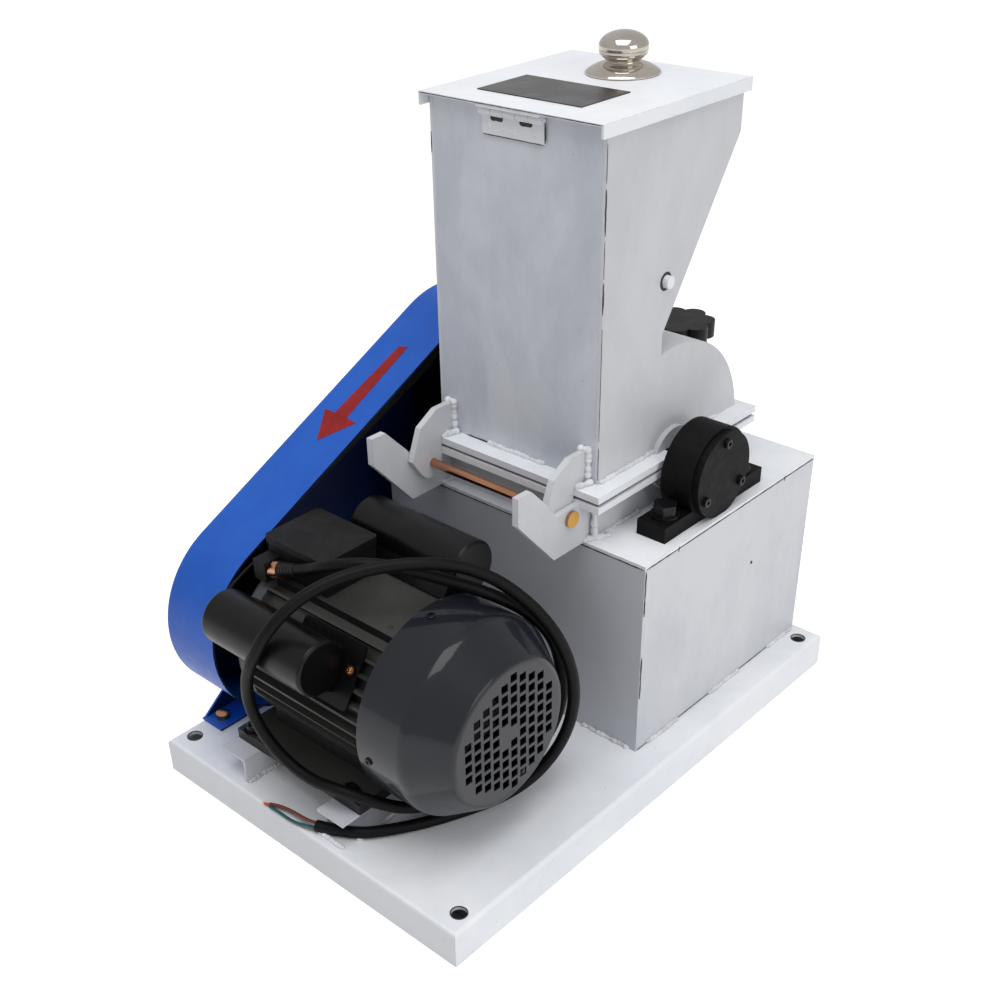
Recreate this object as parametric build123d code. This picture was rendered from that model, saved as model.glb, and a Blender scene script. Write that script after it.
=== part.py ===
from build123d import *
import math
import os

# Bench hammer crusher with a swing-open feed housing, belt drive and motor.
# Millimetres. +X is the rotor axis, away from the belt guard; the motor is at -Y; +Z is up.
# The origin is the middle of the machine's footprint, level with the base tray's underside.

# Base tray
BASE_HEIGHT = 33.0
BASE_SHEET = 3.0
BASE_FOLD = 4.0
BASE_RIGHT_LEDGE = 28.5
BASE_BACK_LEDGE = 6.5
FOOT_HOLE = 13.0
FOOT_HOLE_EDGE_X = 14.0
FOOT_HOLE_EDGE_Y = 19.5
OUTLET_SIDE_INSET = 10.0
OUTLET_END_INSET = 23.0

# Crushing chamber, and the sheet box round its lower half
CHAMBER_RADIUS = 98.0
CHAMBER_WIDTH = 170.0
CHAMBER_BELOW_BOX = 66.0
ROTOR_ABOVE_BOX = 36.5
WALL = 3.0
BOX_HEIGHT = 186.5
BOX_SHEET = 3.0
BOX_FRONT_LEDGE = 11.0
BOX_BACK_LEDGE = 46.0
BOX_SIDE_LEDGE = 9.6

# Flanges between the lower and the upper housing
FLANGE_OVERHANG_X = 15.5
FLANGE_OVERHANG_FRONT = 17.5
FLANGE_OVERHANG_BACK = 9.0
FLANGE_THICK = 5.8
NECK_HEIGHT = 34.0
GASKET_THICK = 3.0
GASKET_INSET = 2.5
SEAT_GAP = 0.3

# Hopper
HOPPER_TOP_ABOVE_FLANGE = 276.0
HOPPER_DEPTH = 168.0
HOPPER_STRAIGHT = 37.0
THROAT_DEPTH = 78.5
THROAT_HEIGHT = 102.0
BAFFLE_ROD_RADIUS = 4.0
BAFFLE_HEAD_RADIUS = 5.0
BAFFLE_HEAD_LENGTH = 5.0
BAFFLE_ABOVE_FLANGE = 144.5
BAFFLE_BEHIND_FRONT = 79.0

# Lid
LID_SHEET = 2.0
LID_LIP = 8.0
LID_SIDE_CLEARANCE = 1.0
LID_FRONT_OVERHANG = 8.5
LID_BACK_OVERHANG = 6.0
LID_HINGE_WIDTH = 60.0
LID_HINGE_LEAF = 1.4
LID_HINGE_LEAF_DROP = 17.0
LID_HINGE_PIN_RADIUS = 1.6
LID_HINGE_PIN_OUT = 1.0
LID_HINGE_BARREL_RADIUS = 3.2
LID_HINGE_PIN_CLEARANCE = 0.05
LID_KNUCKLES = 5
LID_KNUCKLE_GAP = 0.4
PLATE_LENGTH = 100.0
PLATE_DEPTH = 57.0
PLATE_THICK = 0.8
PLATE_BEHIND_FRONT = 29.0
PLATE_SHIFT_X = -4.5
KNOB_BEHIND_FRONT = 136.5
KNOB_BASE_RADIUS = 29.5
KNOB_BASE_EDGE = 1.2
KNOB_BASE_BULGE = 3.7
KNOB_BASE_HEIGHT = 6.0
KNOB_FOOT_RADIUS = 15.5
KNOB_NECK_RADIUS = 13.5
KNOB_NECK_HEIGHT = 4.4
KNOB_HEAD_RADIUS = 19.3
KNOB_HEAD_RISE = 10.2
KNOB_SHOULDER_RADIUS = 15.0
KNOB_SHOULDER_HEIGHT = 6.9
KNOB_DOME_HEIGHT = 10.4

# Housing hinge: lugs on both flanges and one long pin
HINGE_AHEAD_OF_BOX = 18.0
HINGE_ABOVE_BOX = 29.5
HINGE_PIN_RADIUS = 4.0
HINGE_PIN_HEAD_RADIUS = 7.0
HINGE_PIN_HEAD_LENGTH = 3.0
HINGE_BORE_CLEARANCE = 0.08
LUG_THICK = 6.0
LUG_GAP = 0.5
LUG_INSET = 3.0
ARM_REACH = 63.0
ARM_TIP = 16.0
ARM_RISE = 43.0
ARM_NOSE = 24.0
ARM_NOSE_FOOT = 18.0
ARM_NOSE_RISE = 19.0
ARM_HEEL_REACH = 20.0
EYE_RISE = 8.5
EYE_RADIUS = 13.0
EYE_SIDE_DROP = 7.8
EYE_FOOT_FRONT = 6.5
EYE_FOOT_BACK = 5.2
EYE_BACK_DROP = 2.6
UPPER_LUG_REACH = 24.0
UPPER_LUG_RISE = 47.0
UPPER_LUG_CHAMFER = 11.0
UPPER_LUG_TOP = 22.0

# Clamp: a star-knob screw in an ear at the back of the flanges
CLAMP_BEHIND_FLANGE = 24.5
CLAMP_EAR_WIDTH = 34.0
CLAMP_EAR_BEYOND = 15.0
CLAMP_EAR_CORNER = 7.5
CLAMP_SCREW_RADIUS = 6.0
CLAMP_SCREW_CLEARANCE = 0.8
CLAMP_NUT_CLEARANCE = 2.6
CLAMP_NUT_RADIUS = 11.0
CLAMP_NUT_HEIGHT = 10.0
CLAMP_SCREW_BELOW_EAR = 12.0
STAR_HUB_RADIUS = 12.0
STAR_HUB_HEIGHT = 30.0
STAR_RADIUS = 31.0
STAR_LOBE_RADIUS = 11.0
STAR_THICK = 15.0
STAR_LOBES = 7
WASHER_RADIUS = 13.0
WASHER_THICK = 2.5

# Shaft, bearings and seals
SHAFT_RADIUS = 12.5
SHAFT_CLEARANCE = 0.1
SHAFT_END_INSET = 1.0
SEAL_RADIUS = 28.0
SEAL_THICK = 5.0
SEAL_BORE_CLEARANCE = 1.5
BEARING_FLANGE_GAP = 4.9
BEARING_FOOT_INSET = 0.5
BEARING_FOOT_WIDTH = 28.0
BEARING_FOOT_LENGTH = 141.0
BEARING_FOOT_HEIGHT = 14.0
BEARING_RADIUS = 40.0
BEARING_LENGTH = 29.0
BEARING_CAP_RADIUS = 37.0
BEARING_CAP_THICK = 6.0
BEARING_BOLT_SPACING = 105.0
BEARING_BOLT_AF = 18.0
BEARING_BOLT_HEIGHT = 9.0
BEARING_WASHER_RADIUS = 12.0
BEARING_WASHER_THICK = 2.5

# Rotor inside the chamber
ROTOR_SIDE_GAP = 9.0
ROTOR_DISC_THICK = 8.0
ROTOR_DISCS = 4
ROTOR_HUB_RADIUS = 24.0
HAMMER_PIN_EDGE = 12.0
HAMMER_PIN_RADIUS = 6.0
HAMMER_PINS = 4
HAMMER_THICK = 10.0
HAMMER_WIDTH = 26.0
HAMMER_HUB_GAP = 13.0
HAMMER_TIP_GAP = 2.7
HAMMER_FIT = 0.2
GRATE_THICK = 3.0
GRATE_GAP = 0.3
GRATE_TOP_DROP = 24.5
GRATE_SLOTS = 7
GRATE_SLOT_WIDTH = 8.0
GRATE_SLOT_EDGE = 12.0
GRATE_SLOT_SPREAD = 120.0

# Motor, with its lengths measured from the drive end of its ribbed frame
MOTOR_BEHIND_BASE_FRONT = 106.5
CHAMBER_BEHIND_MOTOR = 162.0
MOTOR_SHAFT_HEIGHT = 80.0
MOTOR_FRAME_LENGTH = 148.0
MOTOR_FOOT_AHEAD = 17.0
MOTOR_FOOT_LENGTH = 151.0
MOTOR_FOOT_WIDTH = 160.0
MOTOR_FOOT_THICK = 10.0
MOTOR_PEDESTAL_WIDTH = 100.0
MOTOR_CORE_RADIUS = 67.0
MOTOR_FIN_RADIUS = 74.0
MOTOR_FIN_THICK = 2.4
MOTOR_FINS = 36
MOTOR_PAD_WIDTH = 64.0
MOTOR_PAD_RISE = 66.5
MOTOR_BELL_LENGTH = 24.0
MOTOR_BELL_RADIUS = 73.0
MOTOR_BELL_ROUND = 7.2
MOTOR_BELL_NOSE_RADIUS = 32.0
MOTOR_BELL_NOSE_LENGTH = 8.4
MOTOR_SHAFT_RADIUS = 9.5
MOTOR_SHAFT_LENGTH = 48.0
FAN_COVER_OVERLAP = 5.0
FAN_COVER_LENGTH = 79.5
FAN_COVER_STRAIGHT = 47.0
FAN_COVER_RADIUS = 84.4
FAN_COVER_DISC_RADIUS = 62.0
FAN_COVER_SHOULDER_BEND = 16.25
FAN_COVER_DISC_BEND = 6.0
FAN_COVER_SHEET = 1.5
FAN_COVER_LUGS = 4
FAN_COVER_LUG_WIDTH = 14.0
FAN_COVER_LUG_INSET = 1.0
GRILLE_PITCH = 10.2
GRILLE_HOLE = 7.2
GRILLE_RADIUS = 52.0
FAN_RADIUS = 68.0
FAN_INSET = 27.0
FAN_WIDTH = 24.0
FAN_HUB_RADIUS = 18.0
FAN_BLADES = 8
FAN_BLADE_THICK = 2.5
MOTOR_TAIL_RADIUS = 60.0
MOTOR_TAIL_LENGTH = 14.0

# Motor electrics
TERMINAL_AHEAD = 12.0
TERMINAL_LENGTH = 68.0
TERMINAL_WIDTH = 55.0
TERMINAL_HEIGHT = 27.0
TERMINAL_LID_OVERHANG = 2.0
TERMINAL_LID_HEIGHT = 6.0
GLAND_BOSS_LENGTH = 14.0
GLAND_BOSS_DEPTH = 17.0
GLAND_BOSS_HEIGHT = 18.0
GLAND_RADIUS = 7.5
GLAND_LENGTH = 12.5
GLAND_TILT = 20.0
CAPACITOR_RADIUS = 23.0
CAPACITOR_END = 3.0
FRONT_CAPACITOR_ANGLE = 148.0
FRONT_CAPACITOR_REACH = 97.4
FRONT_CAPACITOR_START = -8.0
FRONT_CAPACITOR_END = -40.0
REAR_CAPACITOR_ANGLE = 53.6
REAR_CAPACITOR_REACH = 103.2
REAR_CAPACITOR_START = 12.0
REAR_CAPACITOR_END = -16.0
CAPACITOR_GAP = 0.3
CAPACITOR_BASE_WIDTH = 36.0

# Motor rails
RAIL_WIDTH = 30.0
RAIL_HEIGHT = 25.0
RAIL_SHEET = 3.0
RAIL_FRONT_REACH = 97.0
RAIL_BACK_REACH = 96.0
RAIL_LEFT_BEYOND_FOOT = 1.8
RAIL_RIGHT_WITHIN_FOOT = 2.2
RAIL_CABLE_NOTCH = 9.0

# Belt drive
PULLEY_GUARD_GAP = 7.0
PULLEY_WIDTH = 22.0
PULLEY_BOX_GAP = 5.5
PULLEY_TO_MOTOR_FRAME = 60.0
ROTOR_PULLEY_RADIUS = 50.0
MOTOR_PULLEY_RADIUS = 58.0
PULLEY_HUB_RADIUS = 20.0
PULLEY_HUB_GAP = 2.0
GROOVE_DEPTH = 10.0
BELT_WIDTH = 12.0
BELT_THICK = 8.0
BELT_PROUD = 1.0
BELT_FIT = 0.3

# Belt guard
GUARD_SHEET = 2.0
GUARD_DEPTH = 61.0
GUARD_MOTOR_RADIUS = 85.6
GUARD_ROTOR_RADIUS = 92.0
GUARD_BOX_CLEARANCE = 1.0
GUARD_FOOT_WIDTH = 135.0
GUARD_FOOT_NECK = 84.0
GUARD_FOOT_FLARE = 20.0
GUARD_TAB_DEPTH = 27.0
GUARD_BOLT_EDGE = 13.0
GUARD_BOLT_HEAD_RADIUS = 6.0
GUARD_BOLT_HEAD_HEIGHT = 5.0

# Motor cable: a loose lead laid round the motor, ending in two bare wires.
# Its points are measured from the motor axis at the frame's drive end.
CABLE_RADIUS = 5.0
CABLE_FIRST_RUN = 30.0
CABLE_ROUTE = [
    (70.5, -34.0, 106.0),
    (99.0, -18.0, 111.5),
    (120.0, 3.5, 104.0),
    (141.0, 24.5, 92.5),
    (163.5, 43.0, 82.0),
    (176.5, 68.5, 61.0),
    (192.0, 82.5, 39.0),
    (197.0, 91.0, 10.0),
    (204.5, 85.5, -20.0),
    (201.0, 77.5, -50.0),
    (192.5, 60.5, -74.5),
    (180.0, 38.0, -91.0),
    (169.5, 9.0, -94.5),
    (160.0, -19.5, -91.5),
    (157.0, -51.0, -79.0),
    (143.5, -72.0, -65.5),
    (120.0, -86.5, -57.5),
    (92.0, -92.5, -58.5),
    (67.0, -97.0, -47.5),
    (49.0, -102.0, -26.5),
    (42.5, -106.0, 1.0),
    (48.5, -109.5, 28.5),
    (63.0, -112.5, 56.0),
    (73.0, -102.5, 81.0),
    (82.0, -80.0, 100.5),
    (94.0, -53.0, 111.0),
    (111.0, -27.0, 116.0),
    (129.5, -1.5, 116.0),
    (146.0, 24.0, 109.5),
    (164.5, 45.5, 96.5),
    (185.5, 60.0, 78.0),
    (203.0, 71.0, 54.5),
    (213.5, 79.5, 26.5),
    (218.5, 83.0, -3.5),
    (218.0, 80.5, -34.5),
    (213.0, 68.5, -62.5),
    (205.0, 46.5, -83.0),
    (190.0, 23.0, -97.5),
    (177.0, -5.5, -99.7),
    (164.5, -34.0, -99.7),
    (148.0, -61.0, -99.7),
    (128.0, -85.5, -99.7),
    (99.0, -97.2, -99.7),
]
CABLE_ARC_SHARE = 0.45
WIRE_RADIUS = 1.4
WIRE_ROUTES = [
    [(98.16, -95.39, -98.7), (90.8, -98.35, -98.7), (73.0, -98.7, -99.5),
     (57.9, -99.9, -101.0), (48.2, -103.7, -102.0)],
    [(99.66, -99.09, -100.7), (92.3, -102.05, -100.7), (78.3, -104.8, -103.0),
     (62.0, -104.7, -103.0), (49.4, -104.9, -103.2)],
]

# Derived widths: the box holds the bearing feet, and the base holds the box and the belt drive
CHAMBER_HALF = CHAMBER_WIDTH / 2
FLANGE_HALF = CHAMBER_HALF + FLANGE_OVERHANG_X
BEARING_INNER_X = FLANGE_HALF + BEARING_FLANGE_GAP
BOX_HALF = BEARING_INNER_X + BEARING_FOOT_INSET + BEARING_FOOT_WIDTH + BOX_SIDE_LEDGE
BASE_LEFT_LEDGE = PULLEY_GUARD_GAP + PULLEY_WIDTH + PULLEY_BOX_GAP
BASE_WIDTH = 2 * BOX_HALF + BASE_LEFT_LEDGE + BASE_RIGHT_LEDGE
CRUSHER_X = (BASE_LEFT_LEDGE - BASE_RIGHT_LEDGE) / 2
LUG_OUTER = CHAMBER_HALF - LUG_INSET
GUARD_X0 = -BASE_WIDTH / 2
GUARD_X1 = GUARD_X0 + GUARD_DEPTH
PULLEY_X0 = GUARD_X0 + PULLEY_GUARD_GAP
MOTOR_FRAME_X0 = PULLEY_X0 + PULLEY_WIDTH + PULLEY_TO_MOTOR_FRAME
MOTOR_FRAME_X1 = MOTOR_FRAME_X0 + MOTOR_FRAME_LENGTH
MOTOR_FOOT_X0 = MOTOR_FRAME_X0 - MOTOR_FOOT_AHEAD
MOTOR_FOOT_X1 = MOTOR_FOOT_X0 + MOTOR_FOOT_LENGTH
FAN_COVER_X0 = MOTOR_FRAME_X1 - FAN_COVER_OVERLAP
FAN_COVER_X1 = FAN_COVER_X0 + FAN_COVER_LENGTH
FAN_COVER_SHOULDER_X = FAN_COVER_X0 + FAN_COVER_STRAIGHT
FAN_X0 = FAN_COVER_X0 + FAN_INSET
TERMINAL_X0 = MOTOR_FRAME_X0 - TERMINAL_AHEAD
RAIL_LEFT_X = MOTOR_FOOT_X0 - RAIL_LEFT_BEYOND_FOOT
RAIL_RIGHT_X = MOTOR_FOOT_X1 - RAIL_RIGHT_WITHIN_FOOT - RAIL_WIDTH

# Derived places from front to back
BASE_LENGTH = (MOTOR_BEHIND_BASE_FRONT + CHAMBER_BEHIND_MOTOR + 2 * CHAMBER_RADIUS
               + BOX_BACK_LEDGE + BASE_BACK_LEDGE)
CLAMP_BEYOND_BASE = (FLANGE_OVERHANG_BACK + CLAMP_BEHIND_FLANGE + STAR_RADIUS
                     - BOX_BACK_LEDGE - BASE_BACK_LEDGE)
BASE_FRONT_Y = -(BASE_LENGTH + CLAMP_BEYOND_BASE) / 2
BASE_BACK_Y = BASE_FRONT_Y + BASE_LENGTH
MOTOR_Y = BASE_FRONT_Y + MOTOR_BEHIND_BASE_FRONT
CHAMBER_FRONT_Y = MOTOR_Y + CHAMBER_BEHIND_MOTOR
ROTOR_Y = CHAMBER_FRONT_Y + CHAMBER_RADIUS
CHAMBER_BACK_Y = ROTOR_Y + CHAMBER_RADIUS
BOX_FRONT_Y = CHAMBER_FRONT_Y - BOX_FRONT_LEDGE
BOX_BACK_Y = CHAMBER_BACK_Y + BOX_BACK_LEDGE
FLANGE_FRONT_Y = CHAMBER_FRONT_Y - FLANGE_OVERHANG_FRONT
FLANGE_BACK_Y = CHAMBER_BACK_Y + FLANGE_OVERHANG_BACK
HOPPER_BACK_Y = CHAMBER_FRONT_Y + HOPPER_DEPTH
THROAT_Y = CHAMBER_FRONT_Y + THROAT_DEPTH
HINGE_Y = BOX_FRONT_Y - HINGE_AHEAD_OF_BOX
RAIL_FRONT_Y = MOTOR_Y - RAIL_FRONT_REACH
RAIL_BACK_Y = MOTOR_Y + RAIL_BACK_REACH

# Derived heights
BASE_TOP = BASE_HEIGHT
BOX_TOP = BASE_TOP + BOX_HEIGHT
ROTOR_Z = BOX_TOP + ROTOR_ABOVE_BOX
LOWER_FLANGE_Z = BOX_TOP + NECK_HEIGHT
GASKET_Z = LOWER_FLANGE_Z + FLANGE_THICK
UPPER_FLANGE_Z = GASKET_Z + GASKET_THICK + SEAT_GAP
HOUSING_Z = UPPER_FLANGE_Z + FLANGE_THICK
HOPPER_TOP = HOUSING_Z + HOPPER_TOP_ABOVE_FLANGE
THROAT_Z = HOUSING_Z + THROAT_HEIGHT
BEND_Z = HOPPER_TOP - HOPPER_STRAIGHT
HINGE_Z = BOX_TOP + HINGE_ABOVE_BOX
MOTOR_SEAT_Z = BASE_TOP + RAIL_HEIGHT
MOTOR_Z = MOTOR_SEAT_Z + MOTOR_SHAFT_HEIGHT

# Derived rotor sizes
ROTOR_LENGTH = CHAMBER_WIDTH - 2 * (WALL + ROTOR_SIDE_GAP)
GRATE_OUTER = CHAMBER_RADIUS - WALL - GRATE_GAP
HAMMER_TIP_RADIUS = GRATE_OUTER - GRATE_THICK - HAMMER_TIP_GAP
HAMMER_PIN_CIRCLE = ROTOR_HUB_RADIUS + HAMMER_HUB_GAP + HAMMER_WIDTH / 2
ROTOR_DISC_RADIUS = HAMMER_PIN_CIRCLE + HAMMER_PIN_EDGE


def block(x0, x1, y0, y1, z0, z1):
    """A box between two corners."""
    centre = ((x0 + x1) / 2, (y0 + y1) / 2, (z0 + z1) / 2)
    return Pos(centre) * Box(x1 - x0, y1 - y0, z1 - z0)


def rod_x(x0, x1, y, z, radius):
    """A round bar along X."""
    return Pos((x0 + x1) / 2, y, z) * Rot(0, 90, 0) * Cylinder(radius, x1 - x0)


def rod_z(x, y, z0, z1, radius):
    """An upright round bar."""
    return Pos(x, y, (z0 + z1) / 2) * Cylinder(radius, z1 - z0)


def side_plate(outline, x0, x1):
    """A plate across X from its outline in the YZ plane."""
    face = make_face(outline)
    return extrude(Plane.YZ.offset(x0) * face, amount=x1 - x0)


def side_polygon(points, x0, x1):
    return side_plate(Polyline(*points, close=True), x0, x1)


def hexagon_z(x, y, z0, z1, across_flats):
    """An upright hexagon bar, for bolt heads and nuts."""
    radius = across_flats / 2 / math.cos(math.pi / 6)
    return extrude(Pos(x, y, z0) * RegularPolygon(radius, 6), amount=z1 - z0)


def mirrored(solid):
    """The same piece on the other side of the crusher's middle plane."""
    return mirror(solid, about=Plane.YZ.offset(CRUSHER_X))


def turned(x, y, z, outline):
    """A solid of revolution about an upright axis from its half outline."""
    face = Rot(90, 0, 0) * make_face(outline)
    return Pos(x, y, z) * revolve(face, Axis.Z)


def write(name, *solids):
    """One file for each sub-part, with its separate solids in one compound."""
    pieces = [s for shape in solids for s in shape.solids()]
    shape = pieces[0] if len(pieces) == 1 else Compound(children=pieces)
    export_step(shape, f"parts/{name}.step")


def base_tray():
    """Folded tray: a deck with four skirts, four bolt holes and the outlet under the chamber."""
    half_x = BASE_WIDTH / 2
    outer = block(-half_x, half_x, BASE_FRONT_Y, BASE_BACK_Y, 0, BASE_HEIGHT)
    outer = fillet(outer.edges().group_by(Axis.Z)[-1], BASE_FOLD)
    in_x = half_x - BASE_SHEET
    tray = outer - block(-in_x, in_x, BASE_FRONT_Y + BASE_SHEET, BASE_BACK_Y - BASE_SHEET,
                         0, BASE_HEIGHT - BASE_SHEET)
    hole_x = half_x - FOOT_HOLE_EDGE_X
    for x in (-hole_x, hole_x):
        for y in (BASE_FRONT_Y + FOOT_HOLE_EDGE_Y, BASE_BACK_Y - FOOT_HOLE_EDGE_Y):
            tray -= rod_z(x, y, 0, BASE_HEIGHT, FOOT_HOLE / 2)
    out_x, out_y = CHAMBER_HALF - OUTLET_SIDE_INSET, CHAMBER_RADIUS - OUTLET_END_INSET
    return tray - block(CRUSHER_X - out_x, CRUSHER_X + out_x, ROTOR_Y - out_y, ROTOR_Y + out_y,
                        0, BASE_HEIGHT)


def box_walls():
    """Front, back and side walls of the crusher box, and its top plate with the chamber opening."""
    x0, x1 = CRUSHER_X - BOX_HALF, CRUSHER_X + BOX_HALF
    top = BOX_TOP - BOX_SHEET
    y0, y1 = BOX_FRONT_Y + BOX_SHEET, BOX_BACK_Y - BOX_SHEET
    ends = [block(x0, x1, BOX_FRONT_Y, y0, BASE_TOP, top),
            block(x0, x1, y1, BOX_BACK_Y, BASE_TOP, top)]
    sides = [block(x0, x0 + BOX_SHEET, y0, y1, BASE_TOP, top),
             block(x1 - BOX_SHEET, x1, y0, y1, BASE_TOP, top)]
    plate = block(x0, x1, BOX_FRONT_Y, BOX_BACK_Y, top, BOX_TOP)
    opening = block(CRUSHER_X - CHAMBER_HALF, CRUSHER_X + CHAMBER_HALF,
                    CHAMBER_FRONT_Y, CHAMBER_BACK_Y, top, BOX_TOP)
    return {"box_ends": ends, "box_sides": sides, "box_top": plate - opening}


def shaft_gap(radius, x0, x1):
    """The space that the rotor shaft needs through a wall."""
    return rod_x(x0, x1, ROTOR_Y, ROTOR_Z, radius)


def chamber_walls():
    """Lower chamber: front and back plates between two side plates with a notch for the shaft."""
    bottom = BOX_TOP - CHAMBER_BELOW_BOX
    x0, x1 = CRUSHER_X - CHAMBER_HALF, CRUSHER_X + CHAMBER_HALF
    side = block(x1 - WALL, x1, CHAMBER_FRONT_Y, CHAMBER_BACK_Y, bottom, LOWER_FLANGE_Z)
    side -= shaft_gap(SHAFT_RADIUS + SEAL_BORE_CLEARANCE, x1 - WALL, x1)
    boss = seal_boss() & block(x1, x1 + SEAL_THICK, ROTOR_Y - SEAL_RADIUS, ROTOR_Y + SEAL_RADIUS,
                               LOWER_FLANGE_Z - SEAL_RADIUS, LOWER_FLANGE_Z)
    side += boss
    front = block(x0 + WALL, x1 - WALL, CHAMBER_FRONT_Y, CHAMBER_FRONT_Y + WALL,
                  bottom, LOWER_FLANGE_Z)
    back = block(x0 + WALL, x1 - WALL, CHAMBER_BACK_Y - WALL, CHAMBER_BACK_Y,
                 bottom, LOWER_FLANGE_Z)
    return {"chamber_ends": [front, back], "chamber_sides": [side, mirrored(side)]}


def seal_boss():
    """Round boss on the right chamber side at the shaft, before it is parted at the flanges."""
    x0 = CRUSHER_X + CHAMBER_HALF
    x1 = x0 + SEAL_THICK
    return shaft_gap(SEAL_RADIUS, x0, x1) - shaft_gap(SHAFT_RADIUS + SEAL_BORE_CLEARANCE, x0, x1)


def flange_ring(z0, z1, inset):
    """A flange frame round the chamber mouth, parted where the shaft crosses it."""
    x0, x1 = CRUSHER_X - FLANGE_HALF + inset, CRUSHER_X + FLANGE_HALF - inset
    frame = block(x0, x1, FLANGE_FRONT_Y + inset, FLANGE_BACK_Y - inset, z0, z1)
    in_half = CHAMBER_HALF - WALL
    frame -= block(CRUSHER_X - in_half, CRUSHER_X + in_half, CHAMBER_FRONT_Y + WALL,
                   CHAMBER_BACK_Y - WALL, z0, z1)
    gap = SHAFT_RADIUS + SEAL_BORE_CLEARANCE
    return frame - block(x0, x1, ROTOR_Y - gap, ROTOR_Y + gap, z0, z1)


def clamp_ear(z0, z1, hole_radius):
    """An ear at the back of a flange, round the clamp screw."""
    y = FLANGE_BACK_Y + CLAMP_BEHIND_FLANGE
    half = CLAMP_EAR_WIDTH / 2
    ear = block(CRUSHER_X - half, CRUSHER_X + half, FLANGE_BACK_Y, y + CLAMP_EAR_BEYOND, z0, z1)
    ear = fillet(ear.edges().filter_by(Axis.Z).group_by(Axis.Y)[-1], CLAMP_EAR_CORNER)
    return ear - rod_z(CRUSHER_X, y, z0, z1, hole_radius)


def lower_lug(x0, x1):
    """Fixed hinge lug: the pin's eye, and an arm in front that the opened hopper leans towards."""
    y, z = HINGE_Y, HINGE_Z
    front, heel = y - ARM_REACH, y - ARM_HEEL_REACH
    outline = [
        (front, z + ARM_RISE),
        (front + ARM_TIP, z + ARM_RISE),
        (y - ARM_NOSE, z + ARM_NOSE_RISE),
        (y - ARM_NOSE_FOOT, z + EYE_RISE),
        (CHAMBER_FRONT_Y, z + EYE_RISE),
        (CHAMBER_FRONT_Y, BOX_TOP),
        (heel, BOX_TOP),
        (front, z + ARM_NOSE_RISE),
    ]
    lug = side_polygon(outline, x0, x1)
    lug -= block(x0, x1, FLANGE_FRONT_Y, CHAMBER_FRONT_Y, LOWER_FLANGE_Z, z + ARM_RISE)
    return lug - rod_x(x0, x1, y, z, HINGE_PIN_RADIUS + HINGE_BORE_CLEARANCE)


def upper_lug(x0, x1):
    """Moving hinge lug on the upper flange and the hopper front, with the pin's eye."""
    y, z = HINGE_Y, HINGE_Z
    top = z + UPPER_LUG_RISE
    front = y - UPPER_LUG_REACH
    wall = CHAMBER_FRONT_Y
    outline = [
        (wall, top),
        (wall - UPPER_LUG_TOP, top),
        (front + UPPER_LUG_CHAMFER, top - UPPER_LUG_CHAMFER),
        (front, z + EYE_RISE),
        (y - EYE_RADIUS, z - EYE_SIDE_DROP),
        (y - EYE_FOOT_FRONT, z - EYE_RADIUS),
        (y + EYE_FOOT_BACK, z - EYE_RADIUS),
        (FLANGE_FRONT_Y - SEAT_GAP, z - EYE_BACK_DROP),
        (FLANGE_FRONT_Y - SEAT_GAP, HOUSING_Z),
        (wall, HOUSING_Z),
    ]
    lug = side_polygon(outline, x0, x1)
    return lug - rod_x(x0, x1, y, z, HINGE_PIN_RADIUS + HINGE_BORE_CLEARANCE)


def hinge_lugs():
    """The two pairs of lugs, the moving one inside the fixed one."""
    fixed_out = CRUSHER_X + LUG_OUTER
    fixed_in = fixed_out - LUG_THICK
    moving_out = fixed_in - LUG_GAP
    fixed = lower_lug(fixed_in, fixed_out)
    moving = upper_lug(moving_out - LUG_THICK, moving_out)
    return {"lower_lugs": [fixed, mirrored(fixed)], "upper_lugs": [moving, mirrored(moving)]}


def hinge_pin():
    """The long pin through both pairs of lugs, with a flat head at each end."""
    reach = LUG_OUTER + HINGE_BORE_CLEARANCE
    x0, x1 = CRUSHER_X - reach, CRUSHER_X + reach
    pin = rod_x(x0, x1, HINGE_Y, HINGE_Z, HINGE_PIN_RADIUS)
    pin += rod_x(x1, x1 + HINGE_PIN_HEAD_LENGTH, HINGE_Y, HINGE_Z, HINGE_PIN_HEAD_RADIUS)
    return pin + rod_x(x0 - HINGE_PIN_HEAD_LENGTH, x0, HINGE_Y, HINGE_Z, HINGE_PIN_HEAD_RADIUS)


def hopper_profile():
    """Side outline of hopper and drum: straight front, sloped back, round drum."""
    drum_y = ROTOR_Y - THROAT_Y
    drum_z = ROTOR_Z + math.sqrt(CHAMBER_RADIUS ** 2 - drum_y ** 2)
    back_y = ROTOR_Y + math.sqrt(CHAMBER_RADIUS ** 2 - (HOUSING_Z - ROTOR_Z) ** 2)
    start = math.atan2(drum_z - ROTOR_Z, THROAT_Y - ROTOR_Y)
    end = math.atan2(HOUSING_Z - ROTOR_Z, back_y - ROTOR_Y)
    middle = (start + end) / 2
    arc_point = (ROTOR_Y + CHAMBER_RADIUS * math.cos(middle),
                 ROTOR_Z + CHAMBER_RADIUS * math.sin(middle))
    straight = Polyline(
        (back_y, HOUSING_Z),
        (CHAMBER_FRONT_Y, HOUSING_Z),
        (CHAMBER_FRONT_Y, HOPPER_TOP),
        (HOPPER_BACK_Y, HOPPER_TOP),
        (HOPPER_BACK_Y, BEND_Z),
        (THROAT_Y, THROAT_Z),
        (THROAT_Y, drum_z),
    )
    return straight + ThreePointArc((THROAT_Y, drum_z), arc_point, (back_y, HOUSING_Z))


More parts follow.
